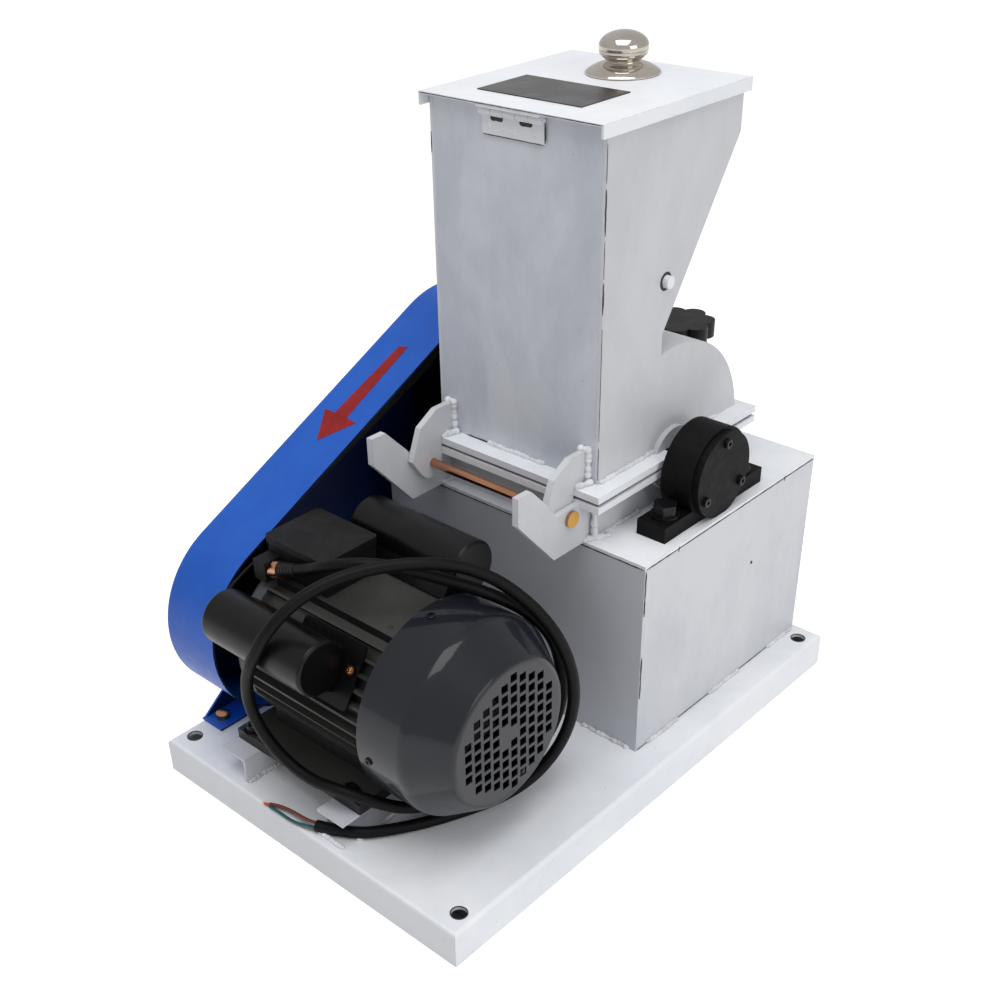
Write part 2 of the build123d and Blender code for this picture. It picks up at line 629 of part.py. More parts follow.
def hopper_sheets():
    """Side plates, front, back, slope, throat and drum shell of the upper housing."""
    x1 = CRUSHER_X + CHAMBER_HALF
    in0, in1 = CRUSHER_X - CHAMBER_HALF + WALL, x1 - WALL
    side = side_plate(hopper_profile(), x1 - WALL, x1)
    side -= shaft_gap(SHAFT_RADIUS + SEAL_BORE_CLEARANCE, x1 - WALL, x1)
    rod_y = CHAMBER_FRONT_Y + BAFFLE_BEHIND_FRONT
    rod_z_height = HOUSING_Z + BAFFLE_ABOVE_FLANGE
    side -= rod_x(x1 - WALL, x1, rod_y, rod_z_height, BAFFLE_ROD_RADIUS)
    run_y, run_z = HOPPER_BACK_Y - THROAT_Y, BEND_Z - THROAT_Z
    lift_top = WALL * math.tan(math.atan2(run_y, run_z) / 2)
    drum_y = ROTOR_Y - THROAT_Y
    drum_z = ROTOR_Z + math.sqrt(CHAMBER_RADIUS ** 2 - drum_y ** 2)
    back = side_polygon([
        (HOPPER_BACK_Y, HOPPER_TOP),
        (HOPPER_BACK_Y, BEND_Z),
        (THROAT_Y, THROAT_Z),
        (THROAT_Y, drum_z),
        (THROAT_Y - WALL, drum_z),
        (THROAT_Y - WALL, THROAT_Z + lift_top),
        (HOPPER_BACK_Y - WALL, BEND_Z + lift_top),
        (HOPPER_BACK_Y - WALL, HOPPER_TOP),
    ], in0, in1)
    shell = rod_x(in0, in1, ROTOR_Y, ROTOR_Z, CHAMBER_RADIUS)
    shell -= rod_x(in0, in1, ROTOR_Y, ROTOR_Z, CHAMBER_RADIUS - WALL)
    shell &= block(in0, in1, THROAT_Y, CHAMBER_BACK_Y, HOUSING_Z, drum_z + CHAMBER_RADIUS)
    side += seal_boss() & block(x1, x1 + SEAL_THICK, ROTOR_Y - SEAL_RADIUS, ROTOR_Y + SEAL_RADIUS,
                                HOUSING_Z, HOUSING_Z + SEAL_RADIUS)
    front = block(in0, in1, CHAMBER_FRONT_Y, CHAMBER_FRONT_Y + WALL, HOUSING_Z, HOPPER_TOP)
    return {"hopper_sides": [side, mirrored(side)], "hopper_front": front, "hopper_back": back,
            "drum_cover": shell}


def baffle_rod():
    """Cross rod through the hopper sides with a round head outside each."""
    y, z = CHAMBER_FRONT_Y + BAFFLE_BEHIND_FRONT, HOUSING_Z + BAFFLE_ABOVE_FLANGE
    x0, x1 = CRUSHER_X - CHAMBER_HALF, CRUSHER_X + CHAMBER_HALF
    rod = rod_x(x0, x1, y, z, BAFFLE_ROD_RADIUS)
    rod += rod_x(x1, x1 + BAFFLE_HEAD_LENGTH, y, z, BAFFLE_HEAD_RADIUS)
    return rod + rod_x(x0 - BAFFLE_HEAD_LENGTH, x0, y, z, BAFFLE_HEAD_RADIUS)


def lid_parts():
    """Folded lid with lips on three sides, its hinge leaf and the two knob pieces."""
    half = CHAMBER_HALF + LID_SIDE_CLEARANCE + LID_SHEET
    x0, x1 = CRUSHER_X - half, CRUSHER_X + half
    y0, y1 = CHAMBER_FRONT_Y - LID_FRONT_OVERHANG, HOPPER_BACK_Y + LID_BACK_OVERHANG
    z0 = HOPPER_TOP + SEAT_GAP
    z1 = z0 + LID_SHEET
    lid = block(x0, x1, y0, y1, z1 - LID_LIP - LID_SHEET, z1)
    lid -= block(x0 + LID_SHEET, x1 - LID_SHEET, y0, y1, z1 - LID_LIP - LID_SHEET, z0)
    plate_x = CRUSHER_X + PLATE_SHIFT_X
    plate_y = y0 + PLATE_BEHIND_FRONT
    plate = block(plate_x - PLATE_LENGTH / 2, plate_x + PLATE_LENGTH / 2,
                  plate_y, plate_y + PLATE_DEPTH, z1, z1 + PLATE_THICK)
    knob_y = y0 + KNOB_BEHIND_FRONT
    edge_x, neck_top = KNOB_BASE_RADIUS, KNOB_BASE_HEIGHT + KNOB_NECK_HEIGHT
    foot_x = KNOB_FOOT_RADIUS
    dome_z = neck_top + KNOB_HEAD_RISE
    rosette = turned(CRUSHER_X, knob_y, z1, [
        Polyline((0, 0), (edge_x, 0), (edge_x, KNOB_BASE_EDGE)),
        Spline((edge_x, KNOB_BASE_EDGE), ((edge_x + foot_x) / 2, KNOB_BASE_BULGE),
               (foot_x, KNOB_BASE_HEIGHT)),
        Polyline((foot_x, KNOB_BASE_HEIGHT), (0, KNOB_BASE_HEIGHT), (0, 0)),
    ])
    head = turned(CRUSHER_X, knob_y, z1, [
        Polyline((0, KNOB_BASE_HEIGHT), (foot_x, KNOB_BASE_HEIGHT), (KNOB_NECK_RADIUS, neck_top),
                 (KNOB_HEAD_RADIUS, dome_z)),
        Spline((KNOB_HEAD_RADIUS, dome_z),
               (KNOB_SHOULDER_RADIUS, dome_z + KNOB_SHOULDER_HEIGHT),
               (0, dome_z + KNOB_DOME_HEIGHT), tangents=[(0, 1), (-1, 0)]),
        Line((0, dome_z + KNOB_DOME_HEIGHT), (0, KNOB_BASE_HEIGHT)),
    ])
    return {
        "lid": lid,
        "lid_plate": plate,
        "lid_knob_rosette": rosette,
        "lid_knob": head,
    }


def lid_hinge():
    """Butt hinge under the lid's front edge: knuckles in turn on the wall and on the lid."""
    half = LID_HINGE_WIDTH / 2
    x0, x1 = CRUSHER_X - half, CRUSHER_X + half
    barrel = LID_HINGE_BARREL_RADIUS
    lid_under = HOPPER_TOP + SEAT_GAP
    axis_y = CHAMBER_FRONT_Y - barrel
    axis_z = lid_under - LID_HINGE_LEAF - barrel + LID_HINGE_PIN_CLEARANCE
    wall_leaf = block(x0, x1, CHAMBER_FRONT_Y - LID_HINGE_LEAF, CHAMBER_FRONT_Y,
                      axis_z - LID_HINGE_LEAF_DROP, axis_z)
    lid_leaf = block(x0, x1, CHAMBER_FRONT_Y - LID_FRONT_OVERHANG, CHAMBER_FRONT_Y,
                     lid_under - LID_HINGE_LEAF, lid_under)
    pitch = LID_HINGE_WIDTH / LID_KNUCKLES
    bore = LID_HINGE_PIN_RADIUS + LID_HINGE_PIN_CLEARANCE
    clear = barrel + LID_KNUCKLE_GAP
    for i in range(LID_KNUCKLES):
        k0, k1 = x0 + i * pitch, x0 + (i + 1) * pitch
        knuckle = rod_x(k0 + LID_KNUCKLE_GAP / 2, k1 - LID_KNUCKLE_GAP / 2, axis_y, axis_z, barrel)
        free = rod_x(k0 - LID_KNUCKLE_GAP / 2, k1 + LID_KNUCKLE_GAP / 2, axis_y, axis_z, clear)
        if i % 2:
            wall_leaf -= free
            lid_leaf += knuckle
        else:
            lid_leaf -= free
            wall_leaf += knuckle
    lid_leaf -= rod_x(x0, x1, axis_y, axis_z, bore)
    wall_leaf += rod_x(x0 - LID_HINGE_PIN_OUT, x1 + LID_HINGE_PIN_OUT, axis_y, axis_z,
                       LID_HINGE_PIN_RADIUS)
    return {"lid_hinge_wall_leaf": wall_leaf, "lid_hinge_lid_leaf": lid_leaf}


def star_knob():
    """Seven-lobed clamp knob with its hub and screw, as one turning piece."""
    y = FLANGE_BACK_Y + CLAMP_BEHIND_FLANGE
    washer_z = HOUSING_Z + SEAT_GAP
    seat = washer_z + WASHER_THICK
    knob = rod_z(CRUSHER_X, y, washer_z, seat, WASHER_RADIUS)
    knob += rod_z(CRUSHER_X, y, seat, seat + STAR_HUB_HEIGHT, STAR_HUB_RADIUS)
    z0 = seat + STAR_HUB_HEIGHT
    star = Circle(STAR_RADIUS - STAR_LOBE_RADIUS)
    for i in range(STAR_LOBES):
        angle = 90 + 360 / STAR_LOBES * i
        lobe = Rot(0, 0, angle) * Pos(STAR_RADIUS - STAR_LOBE_RADIUS, 0) * Circle(STAR_LOBE_RADIUS)
        star += lobe
    knob += extrude(Pos(CRUSHER_X, y, z0) * star, amount=STAR_THICK)
    bottom = LOWER_FLANGE_Z - CLAMP_SCREW_BELOW_EAR
    return knob + rod_z(CRUSHER_X, y, bottom, washer_z, CLAMP_SCREW_RADIUS)


def bearing_housing():
    """Right pillow block: foot, round housing and the two foot bolts; shaft bore through."""
    x0 = BEARING_INNER_X + CRUSHER_X
    foot_x0 = x0 + BEARING_FOOT_INSET
    foot = block(foot_x0, foot_x0 + BEARING_FOOT_WIDTH, ROTOR_Y - BEARING_FOOT_LENGTH / 2,
                 ROTOR_Y + BEARING_FOOT_LENGTH / 2, BOX_TOP, BOX_TOP + BEARING_FOOT_HEIGHT)
    body = foot + rod_x(x0, x0 + BEARING_LENGTH, ROTOR_Y, ROTOR_Z, BEARING_RADIUS)
    big = BEARING_RADIUS * 3
    body &= block(x0, x0 + BEARING_LENGTH, ROTOR_Y - big, ROTOR_Y + big, BOX_TOP, BOX_TOP + big)
    body -= shaft_gap(SHAFT_RADIUS + SHAFT_CLEARANCE, x0, x0 + BEARING_LENGTH)
    return body


def bearing_bolts():
    """Hexagon bolts with washers at both ends of the right bearing foot."""
    x = CRUSHER_X + BEARING_INNER_X + BEARING_FOOT_INSET + BEARING_FOOT_WIDTH / 2
    bolts = []
    seat = BOX_TOP + BEARING_FOOT_HEIGHT
    for side in (-1, 1):
        y = ROTOR_Y + side * BEARING_BOLT_SPACING / 2
        washer = rod_z(x, y, seat, seat + BEARING_WASHER_THICK, BEARING_WASHER_RADIUS)
        z0 = seat + BEARING_WASHER_THICK
        bolts.append(washer + hexagon_z(x, y, z0, z0 + BEARING_BOLT_HEIGHT, BEARING_BOLT_AF))
    return bolts


def bearing_cap(bore_radius):
    """Round end cover of the right bearing, cut flat at the box top."""
    x0 = CRUSHER_X + BEARING_INNER_X + BEARING_LENGTH
    x1 = x0 + BEARING_CAP_THICK
    cap = rod_x(x0, x1, ROTOR_Y, ROTOR_Z, BEARING_CAP_RADIUS)
    big = BEARING_RADIUS * 3
    cap &= block(x0, x1, ROTOR_Y - big, ROTOR_Y + big, BOX_TOP + SEAT_GAP, BOX_TOP + big)
    if bore_radius:
        cap -= shaft_gap(bore_radius, x0, x1)
    return cap


def rotor_parts():
    """Shaft, disc pack on a hub with its hammer pins, and the swing hammers."""
    shaft_end = CRUSHER_X + BEARING_INNER_X + BEARING_LENGTH - SHAFT_END_INSET
    shaft = rod_x(PULLEY_X0, shaft_end, ROTOR_Y, ROTOR_Z, SHAFT_RADIUS)
    x0, x1 = CRUSHER_X - ROTOR_LENGTH / 2, CRUSHER_X + ROTOR_LENGTH / 2
    pack = rod_x(x0, x1, ROTOR_Y, ROTOR_Z, ROTOR_HUB_RADIUS)
    pitch = (ROTOR_LENGTH - ROTOR_DISC_THICK) / (ROTOR_DISCS - 1)
    hammers = []
    for i in range(ROTOR_DISCS):
        left = x0 + i * pitch
        pack += rod_x(left, left + ROTOR_DISC_THICK, ROTOR_Y, ROTOR_Z, ROTOR_DISC_RADIUS)
    pack -= rod_x(x0, x1, ROTOR_Y, ROTOR_Z, SHAFT_RADIUS + SHAFT_CLEARANCE)
    for k in range(HAMMER_PINS):
        angle = 2 * math.pi * k / HAMMER_PINS + math.pi / 4
        y = ROTOR_Y + HAMMER_PIN_CIRCLE * math.cos(angle)
        z = ROTOR_Z + HAMMER_PIN_CIRCLE * math.sin(angle)
        pack += rod_x(x0, x1, y, z, HAMMER_PIN_RADIUS)
        for i in range(ROTOR_DISCS - 1):
            gap0 = x0 + i * pitch + ROTOR_DISC_THICK
            middle = gap0 + (pitch - ROTOR_DISC_THICK) / 2
            reach = HAMMER_TIP_RADIUS - HAMMER_PIN_CIRCLE
            tail = HAMMER_WIDTH / 2
            bar = Pos((reach - tail) / 2, 0, 0) * Box(reach + tail, HAMMER_WIDTH, HAMMER_THICK)
            bar -= Cylinder(HAMMER_PIN_RADIUS + HAMMER_FIT, HAMMER_THICK)
            place = Plane(origin=(middle, y, z), x_dir=(0, math.cos(angle), math.sin(angle)),
                          z_dir=(1, 0, 0))
            hammers.append(place * bar)
    return shaft, pack, hammers


def grate():
    """Half-round slotted grate under the rotor."""
    x0 = CRUSHER_X - CHAMBER_HALF + WALL + GRATE_GAP
    x1 = CRUSHER_X + CHAMBER_HALF - WALL - GRATE_GAP
    outer = GRATE_OUTER
    shell = rod_x(x0, x1, ROTOR_Y, ROTOR_Z, outer)
    shell -= rod_x(x0, x1, ROTOR_Y, ROTOR_Z, outer - GRATE_THICK)
    shell &= block(x0, x1, ROTOR_Y - outer, ROTOR_Y + outer, ROTOR_Z - outer,
                   ROTOR_Z - GRATE_TOP_DROP)
    step = GRATE_SLOT_SPREAD / (GRATE_SLOTS - 1)
    for i in range(GRATE_SLOTS):
        turn = i * step - GRATE_SLOT_SPREAD / 2
        slot = Box(x1 - x0 - 2 * GRATE_SLOT_EDGE, GRATE_SLOT_WIDTH, GRATE_THICK * 3)
        shell -= Pos(CRUSHER_X, ROTOR_Y, ROTOR_Z) * Rot(turn, 0, 0) * Pos(0, 0, -outer) * slot
    return shell


def motor_frame():
    """Ribbed motor frame with its flat pad, pedestal, feet and cover lugs, one casting."""
    x0, x1 = MOTOR_FRAME_X0, MOTOR_FRAME_X1
    frame = rod_x(x0, x1, MOTOR_Y, MOTOR_Z, MOTOR_CORE_RADIUS)
    fin_x1 = FAN_COVER_X0 - SEAT_GAP
    for i in range(MOTOR_FINS):
        turn = 360 / MOTOR_FINS * (i + 0.5)
        fin = Pos((x0 + fin_x1) / 2, 0, MOTOR_FIN_RADIUS / 2) * Box(
            fin_x1 - x0, MOTOR_FIN_THICK, MOTOR_FIN_RADIUS)
        frame += Pos(0, MOTOR_Y, MOTOR_Z) * Rot(turn, 0, 0) * fin
    pad_z = MOTOR_Z + MOTOR_PAD_RISE
    half = MOTOR_PAD_WIDTH / 2
    frame -= block(x0, x1, MOTOR_Y - half, MOTOR_Y + half, pad_z, pad_z + MOTOR_FIN_RADIUS)
    frame += block(x0, fin_x1, MOTOR_Y - half, MOTOR_Y + half, MOTOR_Z, pad_z)
    foot = block(MOTOR_FOOT_X0, MOTOR_FOOT_X1, MOTOR_Y - MOTOR_FOOT_WIDTH / 2,
                 MOTOR_Y + MOTOR_FOOT_WIDTH / 2, MOTOR_SEAT_Z, MOTOR_SEAT_Z + MOTOR_FOOT_THICK)
    half = MOTOR_PEDESTAL_WIDTH / 2
    pedestal = block(x0, MOTOR_FOOT_X1, MOTOR_Y - half, MOTOR_Y + half, MOTOR_SEAT_Z, MOTOR_Z)
    frame += rod_x(x1, x1 + MOTOR_TAIL_LENGTH, MOTOR_Y, MOTOR_Z, MOTOR_TAIL_RADIUS)
    reach = FAN_COVER_RADIUS - FAN_COVER_SHEET - SEAT_GAP
    lug_x0 = FAN_COVER_X0 + FAN_COVER_LUG_INSET
    seat = rod_x(lug_x0, x1, MOTOR_Y, MOTOR_Z, reach)
    for i in range(FAN_COVER_LUGS):
        turn = 360 / FAN_COVER_LUGS * (i + 0.5)
        lug = Pos((lug_x0 + x1) / 2, 0, reach / 2) * Box(x1 - lug_x0, FAN_COVER_LUG_WIDTH, reach)
        frame += seat & (Pos(0, MOTOR_Y, MOTOR_Z) * Rot(turn, 0, 0) * lug)
    return frame + foot + pedestal


def motor_ends():
    """Drive-end bell, shaft and fan."""
    x1 = MOTOR_FRAME_X0
    x0 = x1 - MOTOR_BELL_LENGTH
    bell = rod_x(x0 + MOTOR_BELL_NOSE_LENGTH, x1, MOTOR_Y, MOTOR_Z, MOTOR_BELL_RADIUS)
    bell = fillet(bell.edges().group_by(Axis.X)[0], MOTOR_BELL_ROUND)
    bell += rod_x(x0, x1, MOTOR_Y, MOTOR_Z, MOTOR_BELL_NOSE_RADIUS)
    bell -= block(x0, x1, MOTOR_Y - MOTOR_BELL_RADIUS, MOTOR_Y + MOTOR_BELL_RADIUS,
                  MOTOR_SEAT_Z, MOTOR_SEAT_Z + MOTOR_FOOT_THICK + SEAT_GAP)
    pad_z = MOTOR_Z + MOTOR_PAD_RISE
    bell -= block(x0, x1, MOTOR_Y - MOTOR_BELL_RADIUS, MOTOR_Y + MOTOR_BELL_RADIUS,
                  pad_z, pad_z + MOTOR_BELL_RADIUS)
    bell -= rod_x(x0, x1, MOTOR_Y, MOTOR_Z, MOTOR_SHAFT_RADIUS + SHAFT_CLEARANCE)
    shaft = rod_x(x0 - MOTOR_SHAFT_LENGTH, x1, MOTOR_Y, MOTOR_Z, MOTOR_SHAFT_RADIUS)
    fan = rod_x(MOTOR_FRAME_X1 + MOTOR_TAIL_LENGTH, FAN_X0 + FAN_WIDTH, MOTOR_Y, MOTOR_Z,
                FAN_HUB_RADIUS)
    for i in range(FAN_BLADES):
        blade = Pos(FAN_X0 + FAN_WIDTH / 2, 0, FAN_RADIUS / 2) * Box(
            FAN_WIDTH, FAN_BLADE_THICK, FAN_RADIUS)
        fan += Pos(0, MOTOR_Y, MOTOR_Z) * Rot(360 / FAN_BLADES * i, 0, 0) * blade
    return bell, shaft, fan


def fan_cover():
    """Pressed fan cover with a rounded shoulder and a square-hole grille."""
    t = FAN_COVER_SHEET
    profile = Polyline(
        (FAN_COVER_X0, 0), (FAN_COVER_X0, FAN_COVER_RADIUS),
        (FAN_COVER_SHOULDER_X, FAN_COVER_RADIUS), (FAN_COVER_X1, FAN_COVER_DISC_RADIUS),
        (FAN_COVER_X1, 0), close=True)
    inner = Polyline(
        (FAN_COVER_X0, 0), (FAN_COVER_X0, FAN_COVER_RADIUS - t),
        (FAN_COVER_SHOULDER_X - t / 2, FAN_COVER_RADIUS - t),
        (FAN_COVER_X1 - t, FAN_COVER_DISC_RADIUS - t / 2),
        (FAN_COVER_X1 - t, 0), close=True)
    cover = revolve(make_face(profile), Axis.X)
    bend = FAN_COVER_SHOULDER_BEND
    rim = cover.edges().filter_by(GeomType.CIRCLE).sort_by(Axis.X)
    shoulder = [e for e in rim if abs(e.center().X - FAN_COVER_SHOULDER_X) < 1]
    cover = fillet(shoulder, bend)
    edge = [e for e in cover.edges().filter_by(GeomType.CIRCLE)
            if abs(e.center().X - FAN_COVER_X1) < 0.1]
    cover = fillet(edge, FAN_COVER_DISC_BEND)
    hollow = revolve(make_face(inner), Axis.X)
    shoulder = [e for e in hollow.edges().filter_by(GeomType.CIRCLE)
                if abs(e.center().X - FAN_COVER_SHOULDER_X) < 2]
    hollow = fillet(shoulder, bend - t)
    cover -= hollow
    count = int(GRILLE_RADIUS // GRILLE_PITCH) + 1
    x = FAN_COVER_X1 - t / 2
    holes = []
    for i in range(-count, count + 1):
        for j in range(-count, count + 1):
            y, z = (i + 0.5) * GRILLE_PITCH, (j + 0.5 * (i % 2)) * GRILLE_PITCH
            centre_spot = math.hypot(y, z) < GRILLE_PITCH
            if math.hypot(y, z) < GRILLE_RADIUS and not centre_spot:
                holes.append(Pos(x, y, z) * Box(3 * t, GRILLE_HOLE, GRILLE_HOLE))
    cover -= holes
    return Pos(0, MOTOR_Y, MOTOR_Z) * cover


def capacitor(angle, centre, start, end):
    """Round capacitor cover along the motor, from and to its distances past the frame's ends."""
    x0, x1 = MOTOR_FRAME_X0 + start, MOTOR_FRAME_X1 + end
    body = Pos(0, centre, 0) * rod_x(x0, x1, 0, 0, CAPACITOR_RADIUS)
    body = fillet(body.edges().filter_by(GeomType.CIRCLE), CAPACITOR_END)
    half = CAPACITOR_BASE_WIDTH / 2
    base_x1 = min(x1 - CAPACITOR_END, FAN_COVER_X0 - CAPACITOR_GAP)
    body += block(x0 + CAPACITOR_END, base_x1, MOTOR_CORE_RADIUS, centre, -half, half)
    body = Pos(0, MOTOR_Y, MOTOR_Z) * Rot(angle, 0, 0) * body
    return body - rod_x(x0, x1, MOTOR_Y, MOTOR_Z, MOTOR_FIN_RADIUS + CAPACITOR_GAP)


def terminal_box():
    """Terminal box with a boss for the cable gland, its lid and the gland nut."""
    x0, x1 = TERMINAL_X0, TERMINAL_X0 + TERMINAL_LENGTH
    y0, y1 = MOTOR_Y - TERMINAL_WIDTH / 2, MOTOR_Y + TERMINAL_WIDTH / 2
    z0 = MOTOR_Z + MOTOR_PAD_RISE
    z1 = z0 + TERMINAL_HEIGHT
    box = block(x0, x1, y0, y1, z0, z1)
    boss_z0 = z0 + SEAT_GAP
    boss = block(x0, x0 + GLAND_BOSS_LENGTH, y0 - GLAND_BOSS_DEPTH, y0,
                 boss_z0, boss_z0 + GLAND_BOSS_HEIGHT)
    grow = TERMINAL_LID_OVERHANG
    lid = block(x0 - grow, x1 + grow, y0 - grow, y1 + grow, z1, z1 + TERMINAL_LID_HEIGHT)
    lid = fillet(lid.edges().filter_by(Axis.Z), grow * 2)
    gland_x, gland_y, gland_z = gland_mouth(0)
    gland = Pos(gland_x, gland_y, gland_z) * Rot(0, -GLAND_TILT, 0) * rod_x(
        -GLAND_RADIUS, GLAND_LENGTH, 0, 0, GLAND_RADIUS)
    gland -= block(x0, gland_x, gland_y - GLAND_BOSS_DEPTH, gland_y + GLAND_BOSS_DEPTH,
                   gland_z - GLAND_BOSS_HEIGHT, gland_z + GLAND_BOSS_HEIGHT)
    return box + boss, lid, gland


def gland_mouth(reach):
    """A point on the tilted gland's axis, this far out from its boss."""
    tilt = math.radians(GLAND_TILT)
    x = TERMINAL_X0 + GLAND_BOSS_LENGTH + reach * math.cos(tilt)
    y = MOTOR_Y - TERMINAL_WIDTH / 2 - GLAND_BOSS_DEPTH / 2
    z = MOTOR_Z + MOTOR_PAD_RISE + SEAT_GAP + GLAND_BOSS_HEIGHT / 2 + reach * math.sin(tilt)
    return x, y, z


def rail(x0, upright_at_right, notch):
    """Angle rail across the base under the motor feet; the notch lets a cable pass its upright."""
    x1 = x0 + RAIL_WIDTH
    top = BASE_TOP + RAIL_HEIGHT
    flat = block(x0, x1, RAIL_FRONT_Y, RAIL_BACK_Y, top - RAIL_SHEET, top)
    web_x = x1 - RAIL_SHEET if upright_at_right else x0
    return flat + block(web_x, web_x + RAIL_SHEET, RAIL_FRONT_Y + notch, RAIL_BACK_Y, BASE_TOP, top)


def pulley(y, z, radius, bore, hub_reach):
    """V-groove pulley with a hub towards its machine."""
    x0, x1 = PULLEY_X0, PULLEY_X0 + PULLEY_WIDTH
    wheel = rod_x(x0, x1, y, z, radius)
    mid = (x0 + x1) / 2
    groove = rod_x(mid - BELT_WIDTH / 2 - BELT_FIT, mid + BELT_WIDTH / 2 + BELT_FIT, y, z, radius)
    groove -= rod_x(x0, x1, y, z, radius - GROOVE_DEPTH)
    wheel -= groove
    if hub_reach:
        wheel += rod_x(x1, x1 + hub_reach, y, z, PULLEY_HUB_RADIUS)
    return wheel - rod_x(x0, x1 + hub_reach, y, z, bore + SHAFT_CLEARANCE)


def loop_face(r1, r2):
    """Outline round both shaft centres: radius r1 at the motor, r2 at the rotor."""
    dy, dz = ROTOR_Y - MOTOR_Y, ROTOR_Z - MOTOR_Z
    length = math.hypot(dy, dz)
    u = (dy / length, dz / length)
    cos_b = (r1 - r2) / length
    sin_b = math.sqrt(1 - cos_b ** 2)
    ends = []
    for s in (1, -1):
        n = (u[0] * cos_b - s * u[1] * sin_b, u[1] * cos_b + s * u[0] * sin_b)
        a = (MOTOR_Y + r1 * n[0], MOTOR_Z + r1 * n[1])
        b = (ROTOR_Y + r2 * n[0], ROTOR_Z + r2 * n[1])
        ends.append((a, b))
    (a1, b1), (a2, b2) = ends
    far_a = (MOTOR_Y - r1 * u[0], MOTOR_Z - r1 * u[1])
    far_b = (ROTOR_Y + r2 * u[0], ROTOR_Z + r2 * u[1])
    return make_face([Line(a1, b1), ThreePointArc(b1, far_b, b2), Line(b2, a2),
                      ThreePointArc(a2, far_a, a1)])


def loop_prism(r1, r2, x0, x1):
    return extrude(Plane.YZ.offset(x0) * loop_face(r1, r2), amount=x1 - x0)


def belt():
    """One V-belt loop seated in both grooves."""
    mid = PULLEY_X0 + PULLEY_WIDTH / 2
    x0, x1 = mid - BELT_WIDTH / 2, mid + BELT_WIDTH / 2
    r1, r2 = MOTOR_PULLEY_RADIUS + BELT_PROUD, ROTOR_PULLEY_RADIUS + BELT_PROUD
    return loop_prism(r1, r2, x0, x1) - loop_prism(r1 - BELT_THICK, r2 - BELT_THICK, x0, x1)


def guard_space():
    """The box of the crusher, grown by the guard's clearance, that the rim is cut round."""
    c = GUARD_BOX_CLEARANCE
    return block(CRUSHER_X - BOX_HALF - c, CRUSHER_X, BOX_FRONT_Y - c, BOX_BACK_Y, 0, BOX_TOP + c)


def guard_parts():
    """Back plate with its foot, and the rim band round both pulleys."""
    x0, x1 = GUARD_X0, GUARD_X1
    r1, r2, t = GUARD_MOTOR_RADIUS, GUARD_ROTOR_RADIUS, GUARD_SHEET
    plate = loop_prism(r1, r2, x0, x0 + t)
    foot_half, neck_half = GUARD_FOOT_WIDTH / 2, GUARD_FOOT_NECK / 2
    foot = side_polygon([
        (MOTOR_Y - foot_half, BASE_TOP), (MOTOR_Y + foot_half, BASE_TOP),
        (MOTOR_Y + neck_half, BASE_TOP + GUARD_FOOT_FLARE), (MOTOR_Y + neck_half, MOTOR_Z),
        (MOTOR_Y - neck_half, MOTOR_Z), (MOTOR_Y - neck_half, BASE_TOP + GUARD_FOOT_FLARE),
    ], x0, x0 + t)
    tab = block(x0, x0 + GUARD_TAB_DEPTH, MOTOR_Y - foot_half, MOTOR_Y + foot_half,
                BASE_TOP, BASE_TOP + t)
    plate += foot + tab
    bolt_x = x0 + GUARD_TAB_DEPTH / 2
    bolts = []
    for side in (-1, 1):
        y = MOTOR_Y + side * (foot_half - GUARD_BOLT_EDGE)
        z = BASE_TOP + t
        bolts.append(rod_z(bolt_x, y, z, z + GUARD_BOLT_HEAD_HEIGHT, GUARD_BOLT_HEAD_RADIUS))
    band = loop_prism(r1, r2, x0 + t, x1) - loop_prism(r1 - t, r2 - t, x0 + t, x1)
    return plate, band - guard_space(), bolts


def from_motor(points):
    """Route points measured from the motor axis at the frame's drive end."""
    return [(MOTOR_FRAME_X0 + x, MOTOR_Y + y, MOTOR_Z + z) for x, y, z in points]


def tube_path(route, share):
    """Straight runs joined by tangent arcs, each as large as its two runs allow."""
    points = [Vector(*p) for p in route]
    radii = []
    for before, at, after in zip(points, points[1:], points[2:]):
        run_in, run_out = at - before, after - at
        half_turn = math.radians(run_in.get_angle(run_out)) / 2
        radii.append(share * min(run_in.length, run_out.length) / math.tan(half_turn))
    return FilletPolyline(*points, radius=radii), radii


def tube(route, radius, share):
    """A round tube along the route, with its corner radii."""
    path, radii = tube_path(route, share)
    solid = sweep(Plane(origin=path @ 0, z_dir=path % 0) * Circle(radius), path=path)
    expected = math.pi * radius ** 2 * path.length
    return solid, radii, path.length, solid.volume / expected


def clamp_ears():
    """The lower ear with its welded nut, and the upper ear."""
    y = FLANGE_BACK_Y + CLAMP_BEHIND_FLANGE
    nut_hole = CLAMP_SCREW_RADIUS + CLAMP_NUT_CLEARANCE
    nut_z = LOWER_FLANGE_Z - CLAMP_NUT_HEIGHT
    nut = hexagon_z(CRUSHER_X, y, nut_z, LOWER_FLANGE_Z, CLAMP_NUT_RADIUS * 2)
    nut -= rod_z(CRUSHER_X, y, nut_z, LOWER_FLANGE_Z, nut_hole)
    lower = clamp_ear(LOWER_FLANGE_Z, GASKET_Z, nut_hole) + nut
    upper = clamp_ear(UPPER_FLANGE_Z, HOUSING_Z, CLAMP_SCREW_RADIUS + CLAMP_SCREW_CLEARANCE)
    return lower, upper


lower_ear, upper_ear = clamp_ears()
bearing = bearing_housing()
right_bolts = bearing_bolts()
shaft, disc_pack, hammers = rotor_parts()
motor_hub = MOTOR_FRAME_X0 - MOTOR_BELL_LENGTH - PULLEY_X0 - PULLEY_WIDTH - PULLEY_HUB_GAP
guard_plate, guard_band, guard_bolts = guard_parts()
bell, motor_shaft, fan = motor_ends()
box, box_lid, gland = terminal_box()

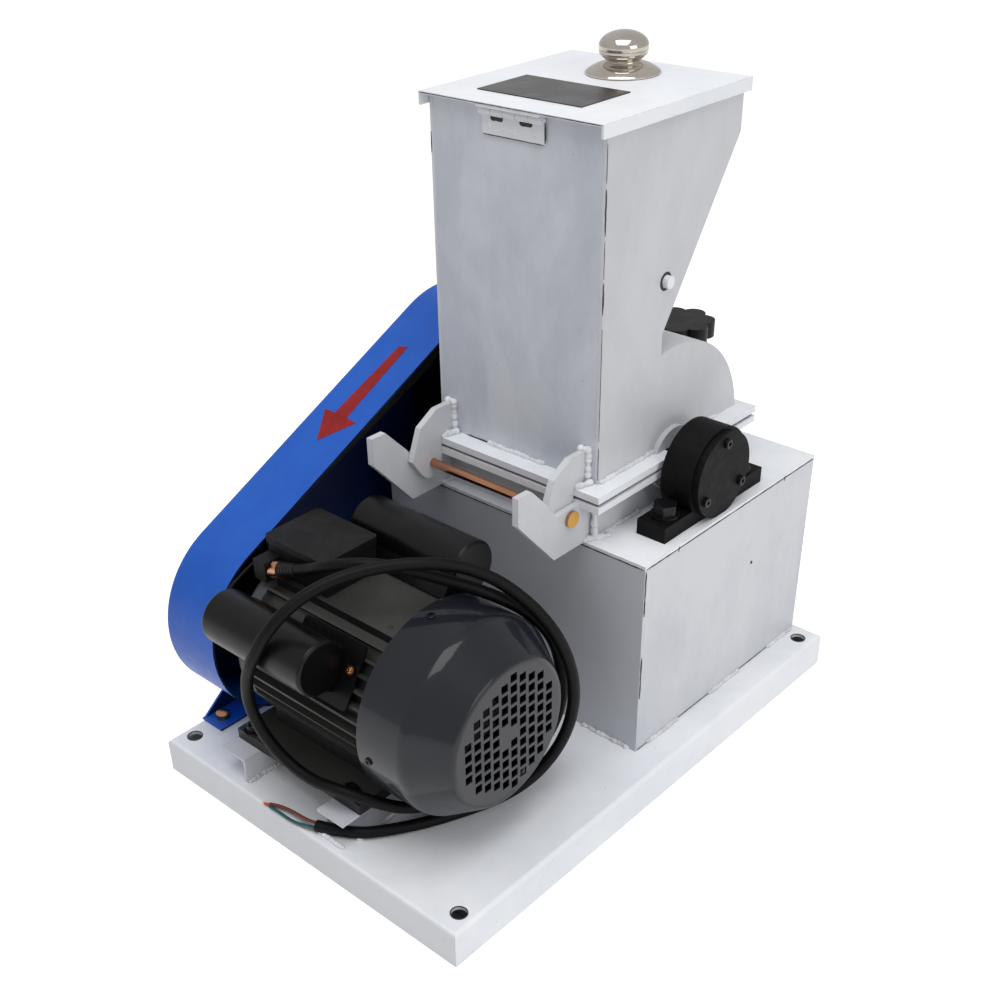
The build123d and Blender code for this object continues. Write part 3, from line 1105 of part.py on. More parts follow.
pieces = {
    "base_tray": base_tray(),
    "lower_flange": flange_ring(LOWER_FLANGE_Z, GASKET_Z, 0),
    "lower_clamp_ear": lower_ear,
    "flange_gasket": flange_ring(GASKET_Z, GASKET_Z + GASKET_THICK, GASKET_INSET),
    "upper_flange": flange_ring(UPPER_FLANGE_Z, HOUSING_Z, 0) + upper_ear,
    "clamp_knob": star_knob(),
    "housing_hinge_pin": hinge_pin(),
    "baffle_rod": baffle_rod(),
    "bearing_housings": [bearing, mirrored(bearing)],
    "bearing_caps": [bearing_cap(0), mirrored(bearing_cap(SHAFT_RADIUS + SEAL_BORE_CLEARANCE))],
    "bearing_bolts": right_bolts + [mirrored(bolt) for bolt in right_bolts],
    "rotor_shaft": shaft,
    "rotor_discs": disc_pack,
    "hammers": hammers,
    "grate": grate(),
    "rotor_pulley": pulley(ROTOR_Y, ROTOR_Z, ROTOR_PULLEY_RADIUS, SHAFT_RADIUS, 0),
    "motor_pulley": pulley(MOTOR_Y, MOTOR_Z, MOTOR_PULLEY_RADIUS, MOTOR_SHAFT_RADIUS, motor_hub),
    "drive_belt": belt(),
    "guard_plate": guard_plate,
    "guard_band": guard_band,
    "guard_bolts": guard_bolts,
    "motor_frame": motor_frame(),
    "motor_end_bell": bell,
    "motor_shaft": motor_shaft,
    "motor_fan": fan,
    "fan_cover": fan_cover(),
    "capacitors": [
        capacitor(FRONT_CAPACITOR_ANGLE, FRONT_CAPACITOR_REACH, FRONT_CAPACITOR_START,
                  FRONT_CAPACITOR_END),
        capacitor(REAR_CAPACITOR_ANGLE, REAR_CAPACITOR_REACH, REAR_CAPACITOR_START,
                  REAR_CAPACITOR_END),
    ],
    "terminal_box": box,
    "terminal_box_lid": box_lid,
    "cable_gland": gland,
    "motor_rails": [rail(RAIL_LEFT_X, True, 0), rail(RAIL_RIGHT_X, False, RAIL_CABLE_NOTCH)],
}
for group in (box_walls(), chamber_walls(), hinge_lugs(), hopper_sheets(), lid_parts(), lid_hinge()):
    pieces.update(group)

os.makedirs("parts", exist_ok=True)
for name, solids in pieces.items():
    write(name, *(solids if isinstance(solids, list) else [solids]))

route = [gland_mouth(GLAND_LENGTH), gland_mouth(GLAND_LENGTH + CABLE_FIRST_RUN)]
route += from_motor(CABLE_ROUTE)
cable, cable_radii, cable_length, cable_fill = tube(route, CABLE_RADIUS, CABLE_ARC_SHARE)
write("motor_cable", cable)
print("cable length", round(cable_length), "volume share", round(cable_fill, 4))
print("cable radii", [round(r) for r in cable_radii])
wires = [tube(from_motor(points), WIRE_RADIUS, CABLE_ARC_SHARE) for points in WIRE_ROUTES]
write("bare_wires", *[wire[0] for wire in wires])
for wire in wires:
    print("wire length", round(wire[2]), "radii", [round(r) for r in wire[1]])
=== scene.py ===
"""Hammer crusher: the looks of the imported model, as a Blender add-on that can run as a script.

Every length is in metres in the model's own frame: X to the right, Y to the back, Z up,
with the origin in the middle of the base's footprint.
"""
import math
import random

import bmesh
import bpy
from bpy.props import FloatProperty, IntProperty, PointerProperty
from mathutils import Matrix, Vector


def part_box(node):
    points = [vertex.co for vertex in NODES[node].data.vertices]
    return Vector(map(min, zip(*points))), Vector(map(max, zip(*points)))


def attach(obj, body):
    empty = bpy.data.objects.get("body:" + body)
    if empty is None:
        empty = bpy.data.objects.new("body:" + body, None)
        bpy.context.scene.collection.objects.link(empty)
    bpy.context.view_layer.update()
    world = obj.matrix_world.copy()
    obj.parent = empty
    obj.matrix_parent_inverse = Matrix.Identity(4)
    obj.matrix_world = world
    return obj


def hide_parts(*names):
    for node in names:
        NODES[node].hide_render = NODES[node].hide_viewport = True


bl_info = {
    "name": "Hammer crusher",
    "version": (1, 0, 0),
    "blender": (4, 5, 0),
    "location": "View3D > Sidebar > Crusher",
    "description": "Finishes, welds, screws, cord and studio for the hammer crusher",
    "category": "Add Mesh",
}

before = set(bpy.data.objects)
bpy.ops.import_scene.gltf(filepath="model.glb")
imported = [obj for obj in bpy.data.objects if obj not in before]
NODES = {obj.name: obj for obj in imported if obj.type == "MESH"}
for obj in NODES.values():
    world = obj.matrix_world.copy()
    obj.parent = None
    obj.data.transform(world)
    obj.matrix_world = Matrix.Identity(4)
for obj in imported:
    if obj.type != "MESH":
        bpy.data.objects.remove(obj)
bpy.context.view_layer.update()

SEED = 11
MM = 0.001
SUNK = 0.0002
RIGHT, FRONT, UP = (1, 0, 0), (0, -1, 0), (0, 0, 1)

# Motor axis at the frame's left end; the cord and its wires are laid out from here.
MOTOR_DATUM = Vector((-0.086, -0.158, 0.138))
GLAND_MOUTH = [(-0.072254, -0.194, 0.218075), (-0.044063, -0.194, 0.228336)]
CORD_ROUTE = [
    (0.0705, -0.034, 0.106), (0.099, -0.018, 0.1115), (0.12, 0.0035, 0.104),
    (0.141, 0.0245, 0.0925), (0.1635, 0.043, 0.082), (0.1765, 0.0685, 0.061),
    (0.192, 0.0825, 0.039), (0.197, 0.091, 0.01), (0.2045, 0.0855, -0.02),
    (0.201, 0.0775, -0.05), (0.1925, 0.0605, -0.0745), (0.18, 0.038, -0.091),
    (0.1695, 0.009, -0.0945), (0.16, -0.0195, -0.0915), (0.157, -0.051, -0.079),
    (0.1435, -0.072, -0.0655), (0.12, -0.0865, -0.0575), (0.092, -0.0925, -0.0585),
    (0.067, -0.097, -0.0475), (0.049, -0.102, -0.0265), (0.0425, -0.106, 0.001),
    (0.0485, -0.1095, 0.0285), (0.063, -0.1125, 0.056), (0.073, -0.1025, 0.081),
    (0.082, -0.08, 0.1005), (0.094, -0.053, 0.111), (0.111, -0.027, 0.116),
    (0.1295, -0.0015, 0.116), (0.146, 0.024, 0.1095), (0.1645, 0.0455, 0.0965),
    (0.1855, 0.06, 0.078), (0.203, 0.071, 0.0545), (0.2135, 0.0795, 0.0265),
    (0.2185, 0.083, -0.0035), (0.218, 0.0805, -0.0345), (0.213, 0.0685, -0.0625),
    (0.205, 0.0465, -0.083), (0.19, 0.023, -0.0975), (0.177, -0.0055, -0.0997),
    (0.1645, -0.034, -0.0997), (0.148, -0.061, -0.0997), (0.128, -0.0855, -0.0997),
    (0.099, -0.0972, -0.0997),
]
WIRE_ROUTES = {
    "wire_brown": [(0.09816, -0.09539, -0.0987), (0.0908, -0.09835, -0.0987),
                   (0.073, -0.0987, -0.0995), (0.0579, -0.0999, -0.101),
                   (0.0482, -0.1037, -0.102)],
    "wire_green": [(0.09966, -0.09909, -0.1007), (0.0923, -0.10205, -0.1007),
                   (0.0783, -0.1048, -0.103), (0.062, -0.1047, -0.103),
                   (0.0494, -0.1049, -0.1032)],
}

# The strain relief's ribs, and the bare strands at a wire's end.
RELIEF_RIBS = 6
RELIEF_WALL = 0.0019
RELIEF_TIP_WALL = 0.0006
RELIEF_GROOVE = 0.0005
STRANDS = 9
STRAND_LENGTH = 0.0085
STRAND_RADIUS = 0.00022
STRAND_TURNS = 1.2
STRAND_STEPS = 8

# The short lead from the terminal box into the front capacitor's end.
CAPACITOR_LEAD = [(-0.0975, -0.174, 0.214), (-0.107, -0.178, 0.2145), (-0.1115, -0.192, 0.209),
                  (-0.1115, -0.212, 0.201), (-0.108, -0.229, 0.1945), (-0.0935, -0.231, 0.1925)]

# Camera: its place, its axes (right, up, back) and its lens, read from the photograph.
CAMERA_PLACE = (0.6626, -0.7481, 0.7734)
CAMERA_RIGHT = (0.73049, 0.68229, -0.02936)
CAMERA_UP = (-0.36091, 0.42219, 0.83155)
CAMERA_BACK = (0.57976, -0.59685, 0.55466)
CAMERA_LENS = 48.07
CAMERA_SENSOR = 36.0
CAMERA_SHIFT = (0.03905, 0.11673)

# Which finish each CAD node carries.
FINISHES = {
    # The white paints are one paint; the darker copies carry painted shade.
    "paint_top": ("lid", "lid_hinge_lid_leaf", "lid_hinge_wall_leaf", "base_tray", "box_top",
                  "lower_flange", "upper_flange", "lower_clamp_ear", "baffle_rod"),
    "paint_front": ("hopper_front",),
    "paint_side": ("hopper_sides", "hopper_back", "drum_cover", "chamber_sides",
                   "chamber_ends", "lower_lugs", "upper_lugs"),
    "paint_box": ("box_ends", "box_sides", "motor_rails"),
    "gasket_strip": ("flange_gasket",),
    "zinc_plate": ("housing_hinge_pin", "guard_bolts", "cable_gland"),
    "black_casting": ("bearing_housings", "bearing_caps"),
    "black_oxide": ("bearing_bolts", "hammers", "grate", "rotor_pulley", "motor_pulley",
                    "rotor_discs"),
    "machined_steel": ("rotor_shaft", "motor_shaft"),
    "belt": ("drive_belt",),
    "guard_blue": ("guard_plate", "guard_band"),
    "motor_charcoal": ("motor_frame",),
    "box_charcoal": ("terminal_box", "terminal_box_lid"),
    "bell_casting": ("motor_end_bell",),
    "cover_slate": ("fan_cover",),
    "capacitor_shell": ("capacitors",),
    "moulded_black": ("clamp_knob", "motor_fan"),
    "lid_plate_gloss": ("lid_plate",),
    "warm_chrome": ("lid_knob", "lid_knob_rosette"),
    "cord_sheath": ("motor_cable",),
    "wire_brown": ("bare_wires",),
}


# Shader helpers

def srgb(red, green, blue):
    """Linear colour, with alpha, of an 8-bit display colour."""
    def linear(v):
        v /= 255.0
        return v / 12.92 if v <= 0.04045 else ((v + 0.055) / 1.055) ** 2.4
    return (linear(red), linear(green), linear(blue), 1.0)


def add(tree, kind, props=None, ins=None):
    """Add a node, set its properties, and set or link its inputs."""
    node = tree.nodes.new(kind)
    for key, value in (props or {}).items():
        setattr(node, key, value)
    for key, value in (ins or {}).items():
        if isinstance(value, bpy.types.NodeSocket):
            tree.links.new(value, node.inputs[key])
        else:
            node.inputs[key].default_value = value
    return node


def calc(tree, operation, a, b=0.0):
    """Output of a Math node."""
    return add(tree, "ShaderNodeMath", {"operation": operation}, {0: a, 1: b}).outputs[0]


def mixed(tree, factor, a, b):
    """Output of a colour Mix node."""
    return add(tree, "ShaderNodeMix", {"data_type": "RGBA"}, {0: factor, 6: a, 7: b}).outputs[2]


def noise(tree, vector, scale, detail=4.0, roughness=0.55, distortion=0.0):
    """Value of a Noise node."""
    node = add(tree, "ShaderNodeTexNoise", None,
               {"Vector": vector, "Scale": scale, "Detail": detail,
                "Roughness": roughness, "Distortion": distortion})
    return node.outputs[0]


def ranged(tree, value, low, high, to_low=0.0, to_high=1.0):
    """Value moved smoothly from one range to another."""
    node = add(tree, "ShaderNodeMapRange", {"interpolation_type": "SMOOTHSTEP"},
               {"Value": value, "From Min": low, "From Max": high,
                "To Min": to_low, "To Max": to_high})
    return node.outputs[0]


def shader_group(name, inputs, outputs):
    """An empty shader node group with its sockets, and its two end nodes."""
    tree = bpy.data.node_groups.new(name, "ShaderNodeTree")
    kinds = {"value": "NodeSocketFloat", "vector": "NodeSocketVector", "colour": "NodeSocketColor"}
    for label, kind in inputs:
        tree.interface.new_socket(name=label, in_out="INPUT", socket_type=kinds[kind])
    for label, kind in outputs:
        tree.interface.new_socket(name=label, in_out="OUTPUT", socket_type=kinds[kind])
    return tree, tree.nodes.new("NodeGroupInput"), tree.nodes.new("NodeGroupOutput")


def clouds_group():
    """Soft uneven patches between two colours, with the mask that made them."""
    tree, gin, gout = shader_group(
        "Clouds", [("Vector", "vector"), ("Scale", "value"), ("Amount", "value"),
                   ("Colour", "colour"), ("Patch", "colour")],
        [("Colour", "colour"), ("Mask", "value")])
    broad = noise(tree, gin.outputs["Vector"], gin.outputs["Scale"], 6.0, 0.6, 0.4)
    fine_scale = calc(tree, "MULTIPLY", gin.outputs["Scale"], 6.3)
    fine = noise(tree, gin.outputs["Vector"], fine_scale, 3.0, 0.7)
    both = calc(tree, "ADD", calc(tree, "MULTIPLY", broad, 0.78), calc(tree, "MULTIPLY", fine, 0.22))
    mask = calc(tree, "MULTIPLY", ranged(tree, both, 0.36, 0.66), gin.outputs["Amount"])
    colour = mixed(tree, mask, gin.outputs["Colour"], gin.outputs["Patch"])
    tree.links.new(colour, gout.inputs["Colour"])
    tree.links.new(mask, gout.inputs["Mask"])
    return tree


def specks_group():
    """Mask of small scattered spots."""
    tree, gin, gout = shader_group(
        "Specks", [("Vector", "vector"), ("Scale", "value"), ("Size", "value"),
                   ("Share", "value")], [("Mask", "value")])
    cells = add(tree, "ShaderNodeTexVoronoi", None,
                {"Vector": gin.outputs["Vector"], "Scale": gin.outputs["Scale"]})
    spot = calc(tree, "LESS_THAN", cells.outputs["Distance"], gin.outputs["Size"])
    parts = add(tree, "ShaderNodeSeparateColor", None, {0: cells.outputs["Color"]})
    chosen = calc(tree, "LESS_THAN", parts.outputs[0], gin.outputs["Share"])
    tree.links.new(calc(tree, "MULTIPLY", spot, chosen), gout.inputs["Mask"])
    return tree


def edge_group():
    """Mask along convex and concave edges, broken up by noise."""
    tree, gin, gout = shader_group(
        "Edge wear", [("Vector", "vector"), ("Radius", "value"), ("Amount", "value")],
        [("Mask", "value")])
    geometry = tree.nodes.new("ShaderNodeNewGeometry")
    bevel = add(tree, "ShaderNodeBevel", {"samples": 4}, {"Radius": gin.outputs["Radius"]})
    dot = add(tree, "ShaderNodeVectorMath", {"operation": "DOT_PRODUCT"},
              {0: bevel.outputs[0], 1: geometry.outputs["Normal"]})
    bent = calc(tree, "SUBTRACT", 1.0, dot.outputs["Value"])
    broken = ranged(tree, noise(tree, gin.outputs["Vector"], 140.0, 5.0, 0.7), 0.42, 0.6)
    mask = calc(tree, "MULTIPLY", ranged(tree, bent, 0.03, 0.22), broken)
    tree.links.new(calc(tree, "MULTIPLY", mask, gin.outputs["Amount"]), gout.inputs["Mask"])
    return tree


def grain_group():
    """Height of a fine surface grain over a slower unevenness."""
    tree, gin, gout = shader_group(
        "Grain", [("Vector", "vector"), ("Scale", "value"), ("Waves", "value")],
        [("Height", "value")])
    fine = noise(tree, gin.outputs["Vector"], gin.outputs["Scale"], 3.0, 0.6)
    slow_scale = calc(tree, "MULTIPLY", gin.outputs["Scale"], 0.12)
    slow = noise(tree, gin.outputs["Vector"], slow_scale, 2.0, 0.5)
    height = calc(tree, "ADD", calc(tree, "MULTIPLY", fine, 0.4),
                  calc(tree, "MULTIPLY", slow, gin.outputs["Waves"]))
    tree.links.new(height, gout.inputs["Height"])
    return tree


def dust_group():
    """Mask of dust lying on faces that look up."""
    tree, gin, gout = shader_group(
        "Dust", [("Vector", "vector"), ("Amount", "value")], [("Mask", "value")])
    coord = tree.nodes.new("ShaderNodeTexCoord")
    parts = add(tree, "ShaderNodeSeparateXYZ", None, {0: coord.outputs["Normal"]})
    up = ranged(tree, parts.outputs["Z"], 0.3, 0.95)
    patch = ranged(tree, noise(tree, gin.outputs["Vector"], 26.0, 6.0, 0.7), 0.4, 0.7)
    mask = calc(tree, "MULTIPLY", calc(tree, "MULTIPLY", up, patch), gin.outputs["Amount"])
    tree.links.new(mask, gout.inputs["Mask"])
    return tree


def facing_group():
    """Mask of the faces that look one way."""
    tree, gin, gout = shader_group(
        "Facing", [("Direction", "vector"), ("Amount", "value")], [("Mask", "value")])
    coord = tree.nodes.new("ShaderNodeTexCoord")
    dot = add(tree, "ShaderNodeVectorMath", {"operation": "DOT_PRODUCT"},
              {0: coord.outputs["Normal"], 1: gin.outputs["Direction"]})
    mask = calc(tree, "MULTIPLY", ranged(tree, dot.outputs["Value"], 0.5, 0.95),
                gin.outputs["Amount"])
    tree.links.new(mask, gout.inputs["Mask"])
    return tree


GROUPS = {}


def group_node(tree, name, ins):
    """A node of one of the shared groups."""
    if name not in GROUPS:
        makers = {"Clouds": clouds_group, "Specks": specks_group, "Edge wear": edge_group,
                  "Grain": grain_group, "Dust": dust_group, "Facing": facing_group}
        GROUPS[name] = makers[name]()
    return add(tree, "ShaderNodeGroup", {"node_tree": GROUPS[name]}, ins)


def finish(name, base, patch, rough, metallic=0.0, coat=0.0, coat_rough=0.1, specular=0.5,
           clouds=(14.0, 0.6), rough_span=0.12, grain=(900.0, 0.6, 0.12), stretch=(1, 1, 1),
           wear=None, specks=None, dust=None, facing=None):
    """One procedural material; every colour is an 8-bit display colour.

    clouds: scale and amount; grain: scale, waves and bump strength; wear: colour, amount,
    radius and how metallic; specks: colour, scale, size and share; dust: colour and amount;
    facing: colour, direction and amount of a tint on faces that look one way, which is painted
    light and shade on most finishes and the gold ends on the zinc plate.
    """
    material = bpy.data.materials.new(name)
    material.use_nodes = True
    tree = material.node_tree
    tree.nodes.clear()
    out = tree.nodes.new("ShaderNodeOutputMaterial")
    shader = tree.nodes.new("ShaderNodeBsdfPrincipled")
    tree.links.new(shader.outputs[0], out.inputs["Surface"])
    coord = tree.nodes.new("ShaderNodeTexCoord")
    mapping = add(tree, "ShaderNodeMapping", None,
                  {"Vector": coord.outputs["Object"], "Scale": stretch})
    vector = mapping.outputs[0]
    cloud = group_node(tree, "Clouds", {"Vector": vector, "Scale": clouds[0],
                                        "Amount": clouds[1], "Colour": srgb(*base),
                                        "Patch": srgb(*patch)})
    colour, mask = cloud.outputs["Colour"], cloud.outputs["Mask"]
    if facing:
        tint, direction, amount = facing
        node = group_node(tree, "Facing", {"Direction": direction, "Amount": amount})
        colour = mixed(tree, node.outputs[0], colour, srgb(*tint))
    if specks:
        tint, scale, size, share = specks
        node = group_node(tree, "Specks", {"Vector": vector, "Scale": scale, "Size": size,
                                           "Share": share})
        colour = mixed(tree, node.outputs[0], colour, srgb(*tint))
    if dust:
        tint, amount = dust
        node = group_node(tree, "Dust", {"Vector": vector, "Amount": amount})
        colour = mixed(tree, node.outputs[0], colour, srgb(*tint))
    height = group_node(tree, "Grain", {"Vector": vector, "Scale": grain[0],
                                        "Waves": grain[1]}).outputs[0]
    roughness = ranged(tree, calc(tree, "ADD", calc(tree, "MULTIPLY", mask, 0.5),
                                  calc(tree, "MULTIPLY", height, 0.5)),
                       0.1, 0.8, rough - rough_span / 2, rough + rough_span / 2)
    shader.inputs["Metallic"].default_value = metallic
    if wear:
        tint, amount, radius, worn_metal = wear
        edge = group_node(tree, "Edge wear", {"Vector": vector, "Radius": radius,
                                              "Amount": amount}).outputs[0]
        colour = mixed(tree, edge, colour, srgb(*tint))
        if worn_metal != metallic:
            tree.links.new(ranged(tree, edge, 0.0, 1.0, metallic, worn_metal),
                           shader.inputs["Metallic"])
    bump = add(tree, "ShaderNodeBump", None,
               {"Strength": grain[2], "Distance": 0.001, "Height": height})
    tree.links.new(colour, shader.inputs["Base Color"])
    tree.links.new(roughness, shader.inputs["Roughness"])
    tree.links.new(bump.outputs[0], shader.inputs["Normal"])
    shader.inputs["Coat Weight"].default_value = coat
    shader.inputs["Coat Roughness"].default_value = coat_rough
    shader.inputs["Specular IOR Level"].default_value = specular


def make_materials():
    """Every finish of the machine, by name."""
    chip = ((120, 112, 104), 0.55, 0.0009, 0.5)
    spots = ((96, 92, 90), 160.0, 0.06, 0.06)
    grime = ((196, 193, 186), 0.12)
    paint = {"rough": 0.42, "coat": 0.12, "coat_rough": 0.3, "specks": spots, "wear": chip,
             "grain": (700.0, 1.4, 0.16), "dust": grime}
    # One white paint: the tops keep it light, the front, side and box copies are darker as painted
    # shade, and faces that look to the front are darker again as painted shade.
    finish("paint_top", (236, 238, 242), (221, 226, 234), clouds=(8.0, 0.6),
           facing=((200, 201, 205), (0, -1, 0), 0.7), **paint)
    finish("paint_front", (198, 201, 208), (170, 175, 187), clouds=(7.0, 0.75),
           stretch=(1.4, 1.4, 0.7), **paint)
    finish("paint_side", (202, 203, 207), (184, 187, 193), clouds=(7.0, 0.6),
           stretch=(1.3, 1.3, 0.8), **paint)
    finish("paint_box", (209, 210, 215), (184, 188, 198), clouds=(7.0, 0.65),
           stretch=(1.3, 1.3, 0.7), facing=((178, 181, 188), (0, -1, 0), 0.85), **paint)
    finish("weld_paint", (222, 224, 228), (186, 187, 190), 0.5, clouds=(90.0, 0.7),
           grain=(1500.0, 1.2, 0.4), specks=((96, 97, 106), 420.0, 0.12, 0.06))
    # Dark joints, and painted shade where gaps, slots and holes look dark.
    finish("seam_dark", (62, 60, 58), (34, 33, 32), 0.85, clouds=(120.0, 0.8),
           grain=(1200.0, 1.0, 0.5))
    finish("gasket_strip", (112, 112, 112), (74, 73, 70), 0.8, clouds=(60.0, 0.8),
           grain=(1400.0, 1.0, 0.35))
    finish("zinc_plate", (196, 142, 112), (172, 116, 88), 0.2, metallic=1.0,
           facing=((222, 172, 84), (1, 0, 0), 1.0),
           clouds=(45.0, 0.4), grain=(1800.0, 0.8, 0.04),
           wear=((222, 196, 150), 0.4, 0.0005, 0.9))
    finish("black_casting", (7, 7, 8), (3, 3, 4), 0.55, clouds=(60.0, 0.7),
           specular=0.14, grain=(850.0, 1.6, 0.4), wear=((62, 62, 64), 0.4, 0.0006, 0.3),
           specks=((60, 60, 62), 420.0, 0.08, 0.03), dust=((50, 49, 47), 0.12))
    finish("black_oxide", (40, 40, 42), (24, 24, 26), 0.38, metallic=0.8,
           clouds=(90.0, 0.7), grain=(1500.0, 0.8, 0.12),
           wear=((122, 122, 126), 0.7, 0.0006, 0.9))
    finish("machined_steel", (176, 176, 178), (140, 140, 144), 0.28, metallic=1.0,
           clouds=(60.0, 0.5), grain=(2200.0, 0.4, 0.1), stretch=(0.08, 1, 1))
    finish("belt", (30, 30, 30), (44, 43, 41), 0.78, clouds=(70.0, 0.7),
           grain=(1600.0, 0.8, 0.4))
    # Faces that look to +X, inside the guard, are painted near black: painted shade.
    finish("guard_blue", (10, 86, 188), (7, 74, 168), 0.4, coat=0.12, coat_rough=0.25,
           specular=0.3, clouds=(8.0, 0.6), grain=(800.0, 1.5, 0.12),
           dust=((40, 108, 200), 0.2), facing=((7, 20, 58), (1, 0, 0), 0.92),
           wear=((120, 124, 132), 0.5, 0.0008, 0.6),
           specks=((150, 160, 180), 190.0, 0.05, 0.05))
    finish("arrow_red", (146, 24, 24), (120, 16, 18), 0.45, specular=0.25,
           clouds=(70.0, 0.7), grain=(900.0, 1.2, 0.16), specks=((46, 60, 120), 700.0, 0.12, 0.06))
    # Faces that look up are painted lighter: painted light from above.
    finish("motor_charcoal", (30, 30, 31), (21, 21, 22), 0.42, coat=0.1, coat_rough=0.3,
           specular=0.35, clouds=(30.0, 0.7), grain=(750.0, 1.6, 0.24),
           facing=((62, 63, 59), (0, 0, 1), 0.8),
           wear=((74, 74, 76), 0.35, 0.0005, 0.3))
    finish("box_charcoal", (20, 20, 22), (13, 13, 14), 0.55, clouds=(40.0, 0.6),
           specular=0.2, grain=(1100.0, 1.0, 0.25), dust=((46, 46, 46), 0.25),
           wear=((58, 58, 60), 0.35, 0.0006, 0.0))
    finish("bell_casting", (92, 94, 98), (64, 66, 70), 0.5, metallic=0.4,
           clouds=(50.0, 0.8), grain=(700.0, 1.6, 0.4),
           wear=((136, 138, 142), 0.5, 0.0007, 0.6))
    # Faces that look to +X, the end disc, are painted a lighter tone: painted light.
    finish("cover_slate", (28, 30, 37), (22, 24, 31), 0.3, coat=0.5,
           coat_rough=0.05, specular=0.12, clouds=(12.0, 0.6), grain=(500.0, 1.6, 0.06),
           facing=((33, 34, 38), (1, 0, 0), 0.9),
           wear=((112, 114, 120), 0.3, 0.0005, 0.3))
    finish("capacitor_shell", (6, 6, 8), (10, 10, 12), 0.36, coat=0.12,
           coat_rough=0.2, specular=0.2, clouds=(26.0, 0.6), grain=(1200.0, 0.8, 0.08),
           dust=((40, 40, 42), 0.12), wear=((50, 50, 52), 0.3, 0.0005, 0.0))
    finish("moulded_black", (14, 14, 15), (8, 8, 9), 0.45, clouds=(50.0, 0.6),
           specular=0.22, grain=(1600.0, 0.7, 0.16), wear=((58, 60, 58), 0.4, 0.0008, 0.0),
           dust=((52, 52, 48), 0.15))
    finish("lid_plate_gloss", (28, 26, 25), (20, 19, 19), 0.3, coat=0.3,
           coat_rough=0.12, specular=0.3, clouds=(34.0, 0.8), grain=(400.0, 1.2, 0.05),
           specks=((128, 124, 120), 320.0, 0.05, 0.04),
           wear=((120, 116, 110), 0.4, 0.0005, 0.3))
    finish("warm_chrome", (206, 199, 190), (184, 176, 164), 0.1, metallic=1.0,
           clouds=(60.0, 0.6), rough_span=0.08, grain=(1800.0, 0.5, 0.03),
           specks=((120, 108, 92), 420.0, 0.05, 0.05))
    finish("cord_sheath", (7, 7, 8), (12, 11, 11), 0.48, specular=0.16,
           clouds=(80.0, 0.7), grain=(1300.0, 1.0, 0.25), specks=((62, 60, 58), 500.0, 0.06, 0.03))
    finish("wire_brown", (112, 46, 30), (86, 34, 24), 0.42, clouds=(160.0, 0.6),
           grain=(2200.0, 0.6, 0.1))
    finish("wire_green", (24, 84, 88), (18, 62, 70), 0.42, clouds=(160.0, 0.6),
           grain=(2200.0, 0.6, 0.1))
    finish("copper", (214, 122, 72), (170, 84, 50), 0.3, metallic=1.0,
           clouds=(300.0, 0.7), grain=(2600.0, 0.6, 0.1))


# Mesh helpers

def link_piece(obj, material, body, angle=35.0):
    """Put a finished mesh object in the scene, on its body, with its material."""
    bpy.context.scene.collection.objects.link(obj)
    obj.data.materials.clear()
    obj.data.materials.append(bpy.data.materials[material])
    obj.data.polygons.foreach_set("use_smooth", [True] * len(obj.data.polygons))
    obj.data.set_sharp_from_angle(angle=math.radians(angle))
    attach(obj, body)
    return obj


def piece(name, bm, material, body, angle=35.0):
    """A mesh object from bmesh geometry, merged, with its faces looking outwards."""
    bmesh.ops.remove_doubles(bm, verts=bm.verts, dist=1e-6)
    bmesh.ops.recalc_face_normals(bm, faces=bm.faces)
    mesh = bpy.data.meshes.new(name)
    bm.to_mesh(mesh)
    bm.free()
    return link_piece(bpy.data.objects.new(name, mesh), material, body, angle)


def bridge(bm, low, high):
    """Add the faces between two closed rings that have as many points each."""
    for i in range(len(low)):
        j = (i + 1) % len(low)
        bm.faces.new((low[i], low[j], high[j], high[i]))


def skin(bm, rings):
    """Add a closed form through rings of points, with a flat face at each end."""
    for low, high in zip(rings, rings[1:]):
        bridge(bm, low, high)
    bm.faces.new(rings[0][::-1])
    bm.faces.new(rings[-1])


def lathe_rings(bm, profile, place, axis, segments):
    """A ring of points round an axis for each (radius, height), or one point on the axis."""
    turn = Vector(UP).rotation_difference(Vector(axis)).to_matrix().to_4x4()
    matrix = Matrix.Translation(Vector(place)) @ turn
    return [[bm.verts.new(matrix @ Vector((radius * math.cos(2 * math.pi * i / segments),
                                           radius * math.sin(2 * math.pi * i / segments),
                                           height)))
             for i in range(segments if radius else 1)] for radius, height in profile]


def turned(bm, profile, place, axis=UP, segments=48):
    """Add a lathe form: profile is (radius, height) from its foot on the axis to its top."""
    rings = lathe_rings(bm, profile, place, axis, segments)
    for low, high in zip(rings, rings[1:]):
        if len(low) == len(high):
            bridge(bm, low, high)
            continue
        for i in range(segments):
            j = (i + 1) % segments
            bm.faces.new((low[0], high[j], high[i]) if len(low) == 1
                         else (low[i], low[j], high[0]))


def hoop(bm, outline, place, axis=UP, segments=40):
    """Add a ring turned from a closed outline of (radius, height), clear of its axis."""
    rings = lathe_rings(bm, outline, place, axis, segments)
    for low, high in zip(rings, rings[1:] + rings[:1]):
        bridge(bm, low, high)


def ribbon(bm, start, end, normal, width, thick, step, jitter, rng):
    """Add a thin closed strip from start to end lying on a face, its edges uneven."""
    start, end, normal = Vector(start), Vector(end), Vector(normal).normalized()
    along = (end - start).normalized()
    across = normal.cross(along)
    count = max(2, int((end - start).length / step))
    rings = []
    for i in range(count + 1):
        centre = start.lerp(end, i / count)
        left = width / 2 * (1 + rng.uniform(-jitter, jitter))
        right = width / 2 * (1 + rng.uniform(-jitter, jitter))
        if i in (0, count):
            left, right = left * 0.4, right * 0.4
        rings.append([bm.verts.new(centre + across * left - normal * thick),
                      bm.verts.new(centre + across * left * 0.8 + normal * thick),
                      bm.verts.new(centre - across * right * 0.8 + normal * thick),
                      bm.verts.new(centre - across * right - normal * thick)])
    skin(bm, rings)


